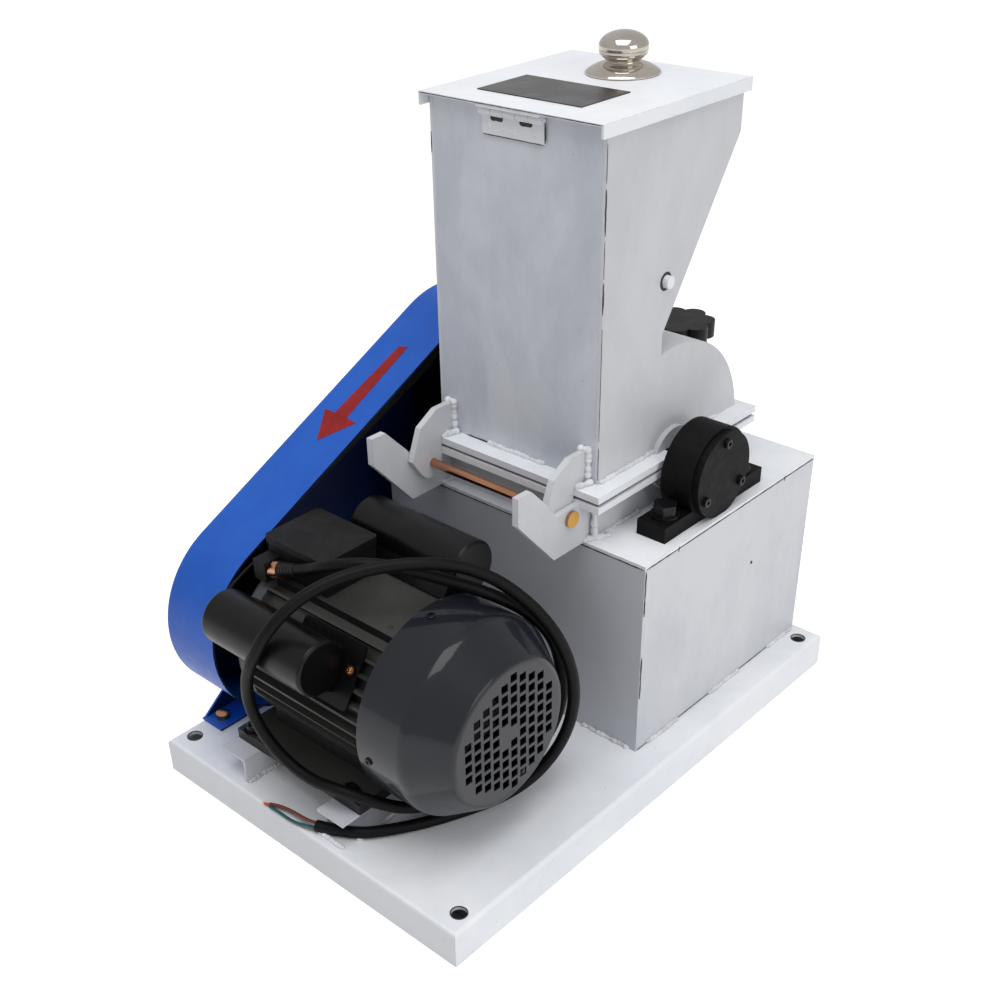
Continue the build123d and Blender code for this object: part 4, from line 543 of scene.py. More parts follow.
def nurbs(name, points, radius, material, resolution=10):
    """A round NURBS curve through control points, in metres."""
    curve = bpy.data.curves.new(name, "CURVE")
    curve.dimensions = "3D"
    spline = curve.splines.new("NURBS")
    spline.points.add(len(points) - 1)
    for point, co in zip(spline.points, points):
        point.co = (*co, 1.0)
    spline.order_u = 3
    spline.use_endpoint_u = True
    curve.resolution_u = resolution
    curve.bevel_depth = radius
    curve.bevel_resolution = 5
    curve.use_fill_caps = True
    curve.materials.append(bpy.data.materials[material])
    obj = bpy.data.objects.new(name, curve)
    bpy.context.scene.collection.objects.link(obj)
    return obj


# Geometry nodes

def nodes_group(name, floats, integers=()):
    """A geometry node group with named inputs, a material input and its end nodes."""
    tree = bpy.data.node_groups.new(name, "GeometryNodeTree")
    face = tree.interface
    face.new_socket(name="Geometry", in_out="INPUT", socket_type="NodeSocketGeometry")
    for label in floats:
        face.new_socket(name=label, in_out="INPUT", socket_type="NodeSocketFloat")
    for label in integers:
        face.new_socket(name=label, in_out="INPUT", socket_type="NodeSocketInt")
    face.new_socket(name="Material", in_out="INPUT", socket_type="NodeSocketMaterial")
    face.new_socket(name="Geometry", in_out="OUTPUT", socket_type="NodeSocketGeometry")
    return tree, tree.nodes.new("NodeGroupInput"), tree.nodes.new("NodeGroupOutput")


def weld_tree():
    """Beads along the edges of a mesh: overlapping round lumps of uneven size."""
    tree, gin, gout = nodes_group("Weld bead", ("Width", "Pitch", "Unevenness"), ("Seed",))
    curve = add(tree, "GeometryNodeMeshToCurve", None, {0: gin.outputs["Geometry"]})
    even = tree.nodes.new("GeometryNodeResampleCurve")
    even.mode = "LENGTH"
    tree.links.new(curve.outputs[0], even.inputs["Curve"])
    tree.links.new(gin.outputs["Pitch"], even.inputs["Length"])
    radius = calc(tree, "MULTIPLY", gin.outputs["Width"], 0.5)
    lump = add(tree, "GeometryNodeMeshUVSphere", None,
               {"Segments": 8, "Rings": 5, "Radius": radius})
    low = calc(tree, "SUBTRACT", 1.0, gin.outputs["Unevenness"])
    high = calc(tree, "ADD", 1.0, gin.outputs["Unevenness"])
    size = add(tree, "FunctionNodeRandomValue", {"data_type": "FLOAT"},
               {2: low, 3: high, "Seed": gin.outputs["Seed"]})
    spread = add(tree, "GeometryNodeInstanceOnPoints", None,
                 {"Points": even.outputs[0], "Instance": lump.outputs["Mesh"],
                  "Scale": size.outputs[1]})
    real = add(tree, "GeometryNodeRealizeInstances", None, {0: spread.outputs[0]})
    paint = add(tree, "GeometryNodeSetMaterial", None,
                {"Geometry": real.outputs[0], "Material": gin.outputs["Material"]})
    tree.links.new(paint.outputs[0], gout.inputs[0])
    return tree


def bolt_tree():
    """Hexagon heads with washers on the points of a mesh, along each point's axis."""
    tree, gin, gout = nodes_group("Hexagon bolts", ("Head Radius", "Head Height",
                                                    "Washer Radius", "Washer Height"))
    washer = add(tree, "GeometryNodeMeshCylinder", None,
                 {"Vertices": 28, "Radius": gin.outputs["Washer Radius"],
                  "Depth": gin.outputs["Washer Height"]})
    head = add(tree, "GeometryNodeMeshCylinder", None,
               {"Vertices": 6, "Radius": gin.outputs["Head Radius"],
                "Depth": gin.outputs["Head Height"]})
    crown = add(tree, "GeometryNodeMeshCone", None,
                {"Vertices": 18, "Radius Bottom": calc(tree, "MULTIPLY",
                                                       gin.outputs["Head Radius"], 0.86),
                 "Radius Top": calc(tree, "MULTIPLY", gin.outputs["Head Radius"], 0.7),
                 "Depth": calc(tree, "MULTIPLY", gin.outputs["Head Height"], 0.14)})

    def raised(mesh, height):
        lift = add(tree, "ShaderNodeCombineXYZ", None, {"Z": height})
        moved = add(tree, "GeometryNodeTransform", None,
                    {"Geometry": mesh, "Translation": lift.outputs[0]})
        return moved.outputs[0]

    half_washer = calc(tree, "MULTIPLY", gin.outputs["Washer Height"], 0.5)
    head_mid = calc(tree, "ADD", gin.outputs["Washer Height"],
                    calc(tree, "MULTIPLY", gin.outputs["Head Height"], 0.5))
    head_top = calc(tree, "ADD", gin.outputs["Washer Height"], gin.outputs["Head Height"])
    join = tree.nodes.new("GeometryNodeJoinGeometry")
    for mesh, height in ((washer.outputs["Mesh"], half_washer), (head.outputs["Mesh"], head_mid),
                         (crown.outputs["Mesh"], head_top)):
        tree.links.new(raised(mesh, height), join.inputs[0])
    axis = add(tree, "GeometryNodeInputNamedAttribute", {"data_type": "FLOAT_VECTOR"},
               {"Name": "axis"})
    turn = add(tree, "FunctionNodeAlignRotationToVector", {"axis": "Z"},
               {"Vector": axis.outputs[0]})
    spread = add(tree, "GeometryNodeInstanceOnPoints", None,
                 {"Points": gin.outputs["Geometry"], "Instance": join.outputs[0],
                  "Rotation": turn.outputs[0]})
    real = add(tree, "GeometryNodeRealizeInstances", None, {0: spread.outputs[0]})
    paint = add(tree, "GeometryNodeSetMaterial", None,
                {"Geometry": real.outputs[0], "Material": gin.outputs["Material"]})
    tree.links.new(paint.outputs[0], gout.inputs[0])
    return tree


def grown(name, tree, values, verts, edges, material, body, axes=None, angle=50.0):
    """Run a geometry node tree on a small mesh and keep the plain mesh that it makes."""
    seed_mesh = bpy.data.meshes.new(name + "_seed")
    seed_mesh.from_pydata([tuple(v) for v in verts], edges, [])
    if axes:
        data = seed_mesh.attributes.new("axis", "FLOAT_VECTOR", "POINT")
        data.data.foreach_set("vector", [c for axis in axes for c in axis])
    seed = bpy.data.objects.new(name + "_seed", seed_mesh)
    bpy.context.scene.collection.objects.link(seed)
    modifier = seed.modifiers.new("Nodes", "NODES")
    modifier.node_group = tree
    values = dict(values, Material=bpy.data.materials[material])
    for item in tree.interface.items_tree:
        if item.in_out == "INPUT" and item.name in values:
            modifier[item.identifier] = values[item.name]
    depsgraph = bpy.context.evaluated_depsgraph_get()
    mesh = bpy.data.meshes.new_from_object(seed.evaluated_get(depsgraph))
    if not mesh.polygons:
        raise RuntimeError(f"{name}: its node tree made no faces")
    mesh.name = name
    if "axis" in mesh.attributes:
        mesh.attributes.remove(mesh.attributes["axis"])
    bpy.data.objects.remove(seed)
    return link_piece(bpy.data.objects.new(name, mesh), material, body, angle)


# Settings

class CordSettings(bpy.types.PropertyGroup):
    """Sizes of the cord, its wires and the capacitor's lead."""

    diameter: FloatProperty(name="Diameter", description="Across the sheath",
                            default=0.010, unit="LENGTH")
    wire_diameter: FloatProperty(name="Wire", description="Across one insulated wire",
                                 default=0.0028, unit="LENGTH")
    lead_diameter: FloatProperty(name="Lead", description="Across the capacitor's lead",
                                 default=0.0034, unit="LENGTH")
    relief_length: FloatProperty(name="Relief", description="Length of the strain relief",
                                 default=0.022, unit="LENGTH")


class WeldSettings(bpy.types.PropertyGroup):
    """Sizes of the weld beads."""

    width: FloatProperty(name="Width", description="Across a bead", default=0.0042,
                         unit="LENGTH")
    pitch: FloatProperty(name="Pitch", description="From one ripple to the next",
                         default=0.0016, unit="LENGTH")
    unevenness: FloatProperty(name="Unevenness", description="How much ripples differ",
                              default=0.3)
    seed: IntProperty(name="Seed", description="Seed of the ripples", default=3)


class TrimSettings(bpy.types.PropertyGroup):
    """Sizes of seams, screws and the arrow."""

    seam_width: FloatProperty(name="Seam", description="Width of a dark seam",
                              default=0.0009, unit="LENGTH")
    screw_radius: FloatProperty(name="Screw", description="Radius of a bearing cap screw",
                                default=0.0042, unit="LENGTH")
    arrow_thickness: FloatProperty(name="Arrow", description="Thickness of the red arrow",
                                   default=0.0003, unit="LENGTH")
    knob_segments: IntProperty(name="Knob", description="Faces around the lid knob",
                               default=96)


class StageSettings(bpy.types.PropertyGroup):
    """Floor and lights."""

    floor_size: FloatProperty(name="Floor", description="Half the floor's side",
                              default=6.0, unit="LENGTH")
    key_power: FloatProperty(name="Key", description="Power of the overhead light",
                             default=25.0, unit="POWER")
    side_power: FloatProperty(name="Side", description="Power of the side light",
                              default=8.0, unit="POWER")
    world_level: FloatProperty(name="World", description="Strength of the even light",
                               default=0.6)


class CrusherSettings(bpy.types.PropertyGroup):
    """All settings of the hammer crusher."""

    cord: PointerProperty(type=CordSettings)
    weld: PointerProperty(type=WeldSettings)
    trim: PointerProperty(type=TrimSettings)
    stage: PointerProperty(type=StageSettings)


def settings():
    """The settings in the open scene."""
    return bpy.context.scene.crusher


# Builders

def build_camera():
    """The camera at the photograph's place."""
    camera = bpy.data.cameras.new("camera")
    camera.lens = CAMERA_LENS
    camera.sensor_width = CAMERA_SENSOR
    camera.shift_x, camera.shift_y = CAMERA_SHIFT
    camera.clip_start, camera.clip_end = 0.01, 50.0
    obj = bpy.data.objects.new("camera", camera)
    matrix = Matrix((CAMERA_RIGHT, CAMERA_UP, CAMERA_BACK)).transposed().to_4x4()
    matrix.translation = Vector(CAMERA_PLACE)
    obj.matrix_world = matrix
    bpy.context.scene.collection.objects.link(obj)
    bpy.context.scene.camera = obj


def build_cord():
    """The motor's cord with its relief, wires and bare ends, and the capacitor's lead."""
    s = settings().cord
    route = [Vector(p) for p in GLAND_MOUTH]
    route += [MOTOR_DATUM + Vector(p) for p in CORD_ROUTE]
    cord = nurbs("power_cord", route, s.diameter / 2, "cord_sheath")
    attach(cord, "base_frame")
    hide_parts("motor_cable")
    pieces = [build_relief(route[0], (route[1] - route[0]).normalized())]
    rng = random.Random(SEED)
    copper = bmesh.new()
    for name, points in WIRE_ROUTES.items():
        path = [MOTOR_DATUM + Vector(p) for p in points]
        wire = nurbs(name + "_core", path, s.wire_diameter / 2, name, 8)
        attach(wire, "base_frame")
        pieces.append(wire)
        strands_at(copper, path[-1], (path[-1] - path[-2]).normalized(), rng)
    pieces.append(piece("wire_strands", copper, "copper", "base_frame"))
    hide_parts("bare_wires")
    lead = nurbs("capacitor_lead", CAPACITOR_LEAD, s.lead_diameter / 2, "cord_sheath")
    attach(lead, "base_frame")


def build_relief(mouth, out):
    """The ribbed, tapering strain relief where the cord leaves its gland."""
    s = settings().cord
    tight, wide = s.diameter / 2 + SUNK, s.diameter / 2 + RELIEF_WALL
    narrow = s.diameter / 2 + RELIEF_TIP_WALL
    profile = [(0, 0)]
    for i in range(RELIEF_RIBS):
        radius = wide + (narrow - wide) * i / (RELIEF_RIBS - 1)
        groove = radius - RELIEF_GROOVE
        profile += [(r, s.relief_length * (i + share) / RELIEF_RIBS)
                    for r, share in ((radius, 0), (radius, 0.6), (groove, 0.68), (groove, 0.98))]
    profile += [(tight, s.relief_length), (0, s.relief_length)]
    bm = bmesh.new()
    turned(bm, profile, mouth - out * MM, out, 32)
    return piece("cord_relief", bm, "moulded_black", "base_frame", 50)


def strands_at(bm, end, along, rng):
    """Add a short twist of thin copper strands going on from a wire's end."""
    side = along.cross(Vector(UP)).normalized()
    up = side.cross(along)
    for k in range(STRANDS):
        phase = 2 * math.pi * k / STRANDS
        reach = STRAND_LENGTH * rng.uniform(0.8, 1.0)
        rings = []
        for i in range(STRAND_STEPS + 1):
            t = i / STRAND_STEPS
            spread = 0.0007 + 0.0005 * t * t * rng.uniform(0.7, 1.3)
            turn = phase + 2 * math.pi * STRAND_TURNS * t
            centre = (end + along * (reach * t - MM) + side * math.cos(turn) * spread
                      + up * (math.sin(turn) * spread - 0.0004 * t))
            rings.append([bm.verts.new(centre + (side * x + up * y) * STRAND_RADIUS)
                          for x, y in ((1, 0), (0, 1), (-1, 0), (0, -1))])
        skin(bm, rings)


def build_finishes():
    """Each CAD node's own material in its slots."""
    make_materials()
    done = set()
    for material, names in FINISHES.items():
        for name in names:
            slots = NODES[name].material_slots
            if not slots:
                NODES[name].data.materials.append(None)
            for item in NODES[name].material_slots:
                item.material = bpy.data.materials[material]
            done.add(name)
    if done != set(NODES):
        raise RuntimeError(f"nodes without a finish: {sorted(set(NODES) - done)}")


# The knob's half outline from foot to widest, as radius and height in mm, read from the
# photo; heights are stretched to the CAD knob's.
KNOB_HEIGHT = 27.6
KNOB_DOME_STEPS = 16
KNOB_PROFILE = [
    (0, 0), (28.7, 0), (29.5, 0.5), (29.5, 1.2), (28.9, 1.7), (27.4, 2.8), (24.9, 4.1),
    (22.5, 5.2), (20.1, 6.1), (17.5, 6.9), (15.2, 7.5), (14.2, 7.8), (13.6, 8.0),
    (13.5, 8.4), (14.0, 9.2), (15.5, 10.3), (17.0, 11.3), (18.1, 12.2), (18.5, 12.9),
    (18.7, 13.3), (18.2, 13.5), (18.2, 13.8), (18.8, 14.0), (19.0, 14.9), (19.1, 15.3),
    (18.6, 15.5), (18.6, 15.8), (19.2, 16.0), (19.3, 17.9),
]


def build_knob():
    """The lid's turned chrome knob and rosette, with two fine grooves below its widest."""
    low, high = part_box("lid_knob_rosette")
    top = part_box("lid_knob")[1]
    stretch = (top.z - low.z) / KNOB_HEIGHT
    profile = [(radius * MM, z * stretch) for radius, z in KNOB_PROFILE]
    widest, start = KNOB_PROFILE[-1]
    for i in range(1, KNOB_DOME_STEPS + 1):
        t = i / KNOB_DOME_STEPS * math.pi / 2
        profile.append((widest * MM * math.cos(t) if i < KNOB_DOME_STEPS else 0,
                        (start + (KNOB_HEIGHT - start) * math.sin(t)) * stretch))
    bm = bmesh.new()
    turned(bm, profile, ((low.x + high.x) / 2, (low.y + high.y) / 2, low.z),
           segments=settings().trim.knob_segments)
    knob = piece("lid_knob_turned", bm, "warm_chrome", "hopper_lid", 40)
    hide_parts("lid_knob", "lid_knob_rosette")


# A bead is cut into short runs that wander a little; the heavier beads are on lugs and neck.
BEAD_RUN = 0.006
BEAD_WANDER = 0.0004
HEAVY_WIDTH = 1.25
HEAVY_UNEVENNESS = 1.3


def bead_lines(lines):
    """Vertices and edges of straight bead lines, cut into uneven short runs."""
    rng = random.Random(SEED)
    verts, edges = [], []
    for start, end in lines:
        start, end = Vector(start) * MM, Vector(end) * MM
        count = max(2, int((end - start).length / BEAD_RUN))
        for i in range(count + 1):
            wander = Vector([rng.uniform(-BEAD_WANDER, BEAD_WANDER) for _ in range(3)])
            verts.append(start.lerp(end, i / count) + wander)
            if i:
                edges.append((len(verts) - 2, len(verts) - 1))
    return verts, edges


# Weld lines in mm, from start to end.
HOUSING_WELDS = [
    ((-26, 3.4, 269.2), (32, 3.4, 269.2)), ((88.8, 8, 269.2), (88.8, 84, 269.2)),
    ((88.8, 120, 269.2), (88.8, 168, 269.2)), ((-82.8, 10, 269.2), (-82.8, 60, 269.2)),
    ((-82.8, 110, 269.2), (-82.8, 168, 269.2)), ((-60, 172.8, 269.2), (66, 172.8, 269.2)),
    ((-66, -12, 269.2), (-66, 2, 269.2)), ((72, -12, 269.2), (72, 2, 269.2)),
]
LUG_WELDS = [
    ((-65.6, 2.4, 270), (-65.6, 2.4, 297)), ((-73.4, 2.4, 272), (-73.4, 2.4, 295)),
    ((79.4, 2.4, 270), (79.4, 2.4, 297)), ((71.6, 2.4, 272), (71.6, 2.4, 295)),
    ((-72, 1.5, 297), (-67, 1.5, 297)), ((73, 1.5, 297), (78, 1.5, 297)),
    ((79.6, -11, 270), (84, 1, 270)), ((-65.4, -10, 270), (-62, 1, 270)),
]
NECK_WELDS = [((88.6, 1.5, 222), (88.6, 1.5, 250)), ((86.5, -4, 221), (95, 14, 221))]
BASE_WELDS = [
    ((88.8, 6, 220.2), (88.8, 60, 220.2)), ((-82.8, 6, 220.2), (-82.8, 60, 220.2)),
    ((85.6, -6, 220.2), (85.6, 3, 220.2)), ((78.4, -6, 220.2), (78.4, 3, 220.2)),
    ((-72.4, -6, 220.2), (-72.4, 3, 220.2)), ((-74.2, -252, 34), (-74.2, -222, 34)),
    ((-105.6, -240, 34), (-105.6, -200, 34)), ((-105.6, -120, 34), (-105.6, -80, 34)),
    ((46.6, -240, 34), (46.6, -200, 34)), ((46.6, -120, 34), (46.6, -80, 34)),
    ((17, -255.6, 34), (44, -255.6, 34)), ((147.2, 10, 34), (147.2, 52, 34)),
    ((147.2, 104, 34), (147.2, 150, 34)), ((147.2, 200, 34), (147.2, 240, 34)),
    ((-141.2, 20, 34), (-141.2, 70, 34)), ((-141.2, 170, 34), (-141.2, 220, 34)),
    ((-130, -7.7, 34), (-90, -7.7, 34)), ((90, -7.7, 34), (138, -7.7, 34)),
    ((-40, 246.7, 34), (20, 246.7, 34)),
]


def build_welds():
    """Painted weld beads on the base and on the swinging housing."""
    s = settings().weld
    tree = weld_tree()
    light = {"Width": s.width, "Pitch": s.pitch, "Unevenness": s.unevenness, "Seed": s.seed}
    heavy = dict(light, Width=s.width * HEAVY_WIDTH, Unevenness=s.unevenness * HEAVY_UNEVENNESS)
    for name, lines, values, body in (
            ("housing_weld_beads", HOUSING_WELDS, light, "upper_housing"),
            ("base_weld_beads", BASE_WELDS, light, "base_frame"),
            ("lug_weld_beads", LUG_WELDS, heavy, "upper_housing"),
            ("neck_weld_beads", NECK_WELDS, heavy, "base_frame")):
        verts, edges = bead_lines(lines)
        grown(name, tree, values, verts, edges, "weld_paint", body)


# Dark seams in mm: start, end, the way that the face looks, and the width as a share of
# the seam width; thin ones are dark joints and wide ones painted shade in gaps and open slots.
# The first list is the hopper's front corner: foot, head and width; its wide runs are painted
# shade in the corner's gaps.
CORNER_SEAM_AND_SHADE = ((272, 300, 0.8), (306, 398, 0.45), (409, 433, 1.6), (436, 464, 0.4),
               (468, 501, 1.4), (505, 532, 0.45))
HOUSING_SEAMS_AND_SHADE = [
    ((-52, 3.8, 269), (-27, 3.8, 269), FRONT, 1.6),
    *(((88.1, 4.4, foot), (88.1, 4.4, head), RIGHT, wide) for foot, head, wide in CORNER_SEAM_AND_SHADE),
    ((-81.6, 3.9, 500), (-81.6, 3.9, 516), FRONT, 0.9),
    # The two wide strips are painted shade in the hinge's open knuckle slots.
    ((-18.5, 2.5, 535.2), (-6.5, 2.5, 535.2), FRONT, 4.6),
    ((9.5, 2.5, 535.2), (21.5, 2.5, 535.2), FRONT, 4.6),
    ((33.4, 2.5, 524), (33.4, 2.5, 539), FRONT, 1.4),
    ((-26, 2.5, 522.8), (32, 2.5, 522.8), FRONT, 0.7),
    ((88.1, 88, 268.9), (88.1, 118, 268.9), RIGHT, 0.9),
]
BASE_SEAMS = [
    ((146.6, -5, 216.3), (146.6, 245, 216.3), RIGHT, 1.1),
    ((-139, -7.1, 216.3), (145, -7.1, 216.3), FRONT, 1.1),
    ((146.6, -5.4, 172), (146.6, -5.4, 214), RIGHT, 1.7),
    ((146.6, -5.4, 89), (146.6, -5.4, 131), RIGHT, 1.7),
    ((146.6, -5, 33.6), (146.6, 244, 33.6), RIGHT, 0.9),
]
LID_SEAMS = [((-84, -4.6, 545.9), (90, -4.6, 545.9), FRONT, 0.6)]
SEAM_THICKNESS = 0.00022

# An open slot, painted as the shade in it, is wider than this share and straighter than a thin seam:
# step, unevenness.
SLOT_WIDTH = 3
SLOT_RUN = (0.0012, 0.12)
THIN_RUN = (0.004, 0.45)

# Small marks on the box's right side, and the painted shade rims of the four floor holes.
BOX_NICK_X = 146.7
BOX_NICKS_Y = (38, 197)
BOX_NICK_Z = (213.5, 218.0)
BOX_NICK_LEAN = 0.8
BOX_NICK_WIDTH = 0.0009
BOX_SPOT = (146.5, 155, 149)
BOX_SPOT_OUTLINE = [(0, 0), (0.0016, 0), (0.0014, 0.0003), (0, 0.0004)]
FLOOR_HOLES_X = (-161, 161)
FLOOR_HOLES_Y = (-245, 233)
FLOOR_HOLE_SHADE_RIM = [(0.0062, -SUNK), (0.0071, -SUNK), (0.0071, 0.00018), (0.0062, 0.0003)]


def build_seams():
    """Thin dark seams where sheets meet, painted shade in gaps and slots, and the small dark marks
    on the box and the painted shade rims of the floor holes.
    """
    seam_width = settings().trim.seam_width
    rng = random.Random(SEED + 1)
    for name, lines, body in (("housing_seams_and_shade", HOUSING_SEAMS_AND_SHADE, "upper_housing"),
                              ("base_seams_and_hole_shade", BASE_SEAMS, "base_frame"),
                              ("lid_seam", LID_SEAMS, "hopper_lid")):
        bm = bmesh.new()
        for start, end, normal, share in lines:
            run = SLOT_RUN if share > SLOT_WIDTH else THIN_RUN
            ribbon(bm, Vector(start) * MM, Vector(end) * MM, normal, seam_width * share,
                   SEAM_THICKNESS, *run, rng)
        if body == "base_frame":
            add_box_marks(bm, rng)
        piece(name, bm, "seam_dark", body)


def add_box_marks(bm, rng):
    """Add two nicks and a spot on the box's right side and the painted shade rims of the floor
    holes.
    """
    for y in BOX_NICKS_Y:
        low, high = BOX_NICK_Z
        ribbon(bm, Vector((BOX_NICK_X, y, low)) * MM,
               Vector((BOX_NICK_X, y + BOX_NICK_LEAN, high)) * MM, RIGHT, BOX_NICK_WIDTH,
               SUNK, 0.003, 0.5, rng)
    turned(bm, BOX_SPOT_OUTLINE, Vector(BOX_SPOT) * MM, RIGHT, 12)
    for x in FLOOR_HOLES_X:
        for y in FLOOR_HOLES_Y:
            hoop(bm, FLOOR_HOLE_SHADE_RIM, (x * MM, y * MM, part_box("base_tray")[1].z))


def socket_screw(bm, place, axis, radius, height):
    """Add a round screw head with a round socket sunk in it."""
    turned(bm, [(0, height * 0.35), (radius * 0.44, height * 0.35), (radius * 0.46, height),
                (radius * 0.84, height), (radius, height * 0.82), (radius, -0.0004),
                (0, -0.0004)][::-1], place, axis, 24)


def rounded_plate(bm, centre, along, across, length, width, thick, corner):
    """Add a flat plate with rounded corners and a small chamfer round its top."""
    along, across = Vector(along).normalized(), Vector(across).normalized()
    normal = along.cross(across)

    def ring(inset, height):
        verts = []
        for sx, sy, first in ((1, 1, 0), (-1, 1, 90), (-1, -1, 180), (1, -1, 270)):
            for step in range(5):
                turn = math.radians(first + step * 22.5)
                u = sx * (length / 2 - corner) + math.cos(turn) * (corner - inset)
                v = sy * (width / 2 - corner) + math.sin(turn) * (corner - inset)
                verts.append(bm.verts.new(Vector(centre) + along * u + across * v
                                          + normal * height))
        return verts

    skin(bm, [ring(0, 0), ring(0, thick * 0.75), ring(thick * 0.3, thick)])


# The front capacitor's clamp: its direction from the motor's axis, in degrees; how far out
# and how far along X the plate and the screw sit; the plate's length, width, thickness and
# corner radius; and the screw's half outline.
CLAMP_DIRECTION = 148
CLAMP_PLATE_OUT, CLAMP_PLATE_X = 0.0742, 0.003
CLAMP_PLATE = (0.070, 0.054, 0.0022, 0.004)
CLAMP_SCREW_OUT, CLAMP_SCREW_X, CLAMP_SCREW_ASIDE = 0.0762, 0.031, 0.005
CLAMP_SCREW = [(0, 0), (0.0042, 0), (0.0042, 0.0008), (0.0028, 0.001), (0.0028, 0.0022),
               (0.0022, 0.003), (0.0006, 0.0032), (0.0006, 0.0026), (0, 0.0026)]


def build_capacitor_clamp():
    """The flat plate behind the front capacitor and its brass screw."""
    turn = math.radians(CLAMP_DIRECTION)
    out = Vector((0, math.cos(turn), math.sin(turn)))
    tangent = Vector((0, math.sin(turn), -math.cos(turn)))
    axis = Vector((0, MOTOR_DATUM.y, MOTOR_DATUM.z))
    bm = bmesh.new()
    rounded_plate(bm, axis + out * CLAMP_PLATE_OUT + Vector((CLAMP_PLATE_X, 0, 0)), RIGHT,
                  -tangent, *CLAMP_PLATE)
    piece("capacitor_clamp_plate", bm, "capacitor_shell", "base_frame", 40)
    bm = bmesh.new()
    place = (axis + out * CLAMP_SCREW_OUT + tangent * CLAMP_SCREW_ASIDE
             + Vector((CLAMP_SCREW_X, 0, 0)))
    turned(bm, CLAMP_SCREW, place, out, 20)
    piece("capacitor_clamp_screw", bm, "zinc_plate", "base_frame", 40)


# Screw heads on the hinge leaf: X and Z in mm, the leaf's face, and their half outline.
HINGE_SCREWS = ((-21, 529.5), (3, 528), (24, 529.5))
HINGE_LEAF_Y = 2.6
HINGE_SCREW = [(0, -SUNK), (0.0029, -SUNK), (0.0026, 0.0004), (0.0016, 0.0007),
               (0.0008, 0.00035), (0, 0.0003)]


def build_hinge_screws():
    """Screw heads, filled with paint, on the leaf of the lid hinge."""
    bm = bmesh.new()
    for x, z in HINGE_SCREWS:
        turned(bm, HINGE_SCREW, Vector((x, HINGE_LEAF_Y, z)) * MM, FRONT, 18)
    piece("lid_hinge_screws", bm, "paint_top", "upper_housing", 40)


# The painted shade ring in the gap round the baffle rod on the hopper's right side.
ROD_GAP_PLACE = (88, 83, 412.9)
ROD_GAP = [(0.0052, -SUNK), (0.0078, -SUNK), (0.0070, 0.0003), (0.0052, 0.0003)]


def build_rod_gap_shade():
    """The painted shade in the gap round the end of the baffle rod."""
    bm = bmesh.new()
    hoop(bm, ROD_GAP, Vector(ROD_GAP_PLACE) * MM, RIGHT, 32)
    piece("baffle_rod_gap_shade", bm, "seam_dark", "upper_housing", 40)


# Screws that stand round an axis: their angles in degrees and their circle's radius.
ROTOR_AXIS_Y, ROTOR_AXIS_Z = 0.102, 0.256
CAP_SCREW_ANGLES, CAP_SCREW_CIRCLE, CAP_SCREW_HEIGHT = (90, 210, 330), 0.029, 0.0032
COVER_SCREW_ANGLES, COVER_SCREW_CIRCLE, COVER_SCREW_X = (97.2, 187.2, 277.2), 0.0844, 0.0686
COVER_SCREW_RADIUS, COVER_SCREW_HEIGHT = 0.0034, 0.0016

# The four marks on the motor's top pad, in mm, and the bolts of the motor's feet.
PAD_MARKS = ((-4.7, -132.1), (37.7, -134.5), (-4.2, -184.2), (37.0, -181.5))
PAD_TOP = 204.5
PAD_MARK = [(0.0001, -SUNK), (0.0026, -SUNK), (0.0026, 0.00018), (0.0001, 0.0003)]
FOOT_BOLTS_X, FOOT_BOLTS_Y, FOOT_TOP = (-0.0898, 0.0308), (-0.231, -0.085), 0.068
FOOT_BOLT = {"Head Radius": 0.0062, "Head Height": 0.005, "Washer Radius": 0.0085,
             "Washer Height": 0.0014}


def build_screws():
    """Cap screws of the bearings, cover screws and the small bolts of the motor."""
    build_hinge_screws()
    build_rod_gap_shade()
    bm = bmesh.new()
    left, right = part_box("bearing_caps")
    for side, x in ((1, right.x), (-1, left.x)):
        for degrees in CAP_SCREW_ANGLES:
            turn = math.radians(degrees)
            place = (x, ROTOR_AXIS_Y + CAP_SCREW_CIRCLE * math.cos(turn),
                     ROTOR_AXIS_Z + CAP_SCREW_CIRCLE * math.sin(turn))
            socket_screw(bm, place, (side, 0, 0), settings().trim.screw_radius,
                         CAP_SCREW_HEIGHT)
    piece("bearing_cap_screws", bm, "black_oxide", "base_frame", 40)
    build_capacitor_clamp()
    bm = bmesh.new()
    for degrees in COVER_SCREW_ANGLES:
        turn = math.radians(degrees)
        out = Vector((0, math.cos(turn), math.sin(turn)))
        centre = Vector((COVER_SCREW_X, MOTOR_DATUM.y, MOTOR_DATUM.z)) + out * COVER_SCREW_CIRCLE
        socket_screw(bm, centre, out, COVER_SCREW_RADIUS, COVER_SCREW_HEIGHT)
    piece("fan_cover_screws", bm, "black_oxide", "base_frame", 40)
    bm = bmesh.new()
    for x, y in PAD_MARKS:
        hoop(bm, PAD_MARK, Vector((x, y, PAD_TOP)) * MM)
    piece("motor_pad_marks", bm, "seam_dark", "base_frame")
    feet = [(x, y, FOOT_TOP) for x in FOOT_BOLTS_X for y in FOOT_BOLTS_Y]
    grown("motor_foot_bolts", bolt_tree(), FOOT_BOLT, feet, [], "black_oxide", "base_frame",
          [UP] * len(feet), 30)


# The arrow on the guard's sloping band, in mm: its outline as X and the way up the band, the
# band's foot, and the band's direction.
ARROW_OUTLINE = [(-148.4, 239.0), (-139.2, 241.5), (-137.0, 152.9), (-124.0, 151.4),
                 (-145.6, 121.4), (-164.9, 153.5), (-152.3, 153.3)]
BAND_FOOT = (0, -195.115, 215.135)
BAND_DIRECTION = (0, 0.90111, 0.43358)
ARROW_STEP = 6
ARROW_WANDER = 0.12


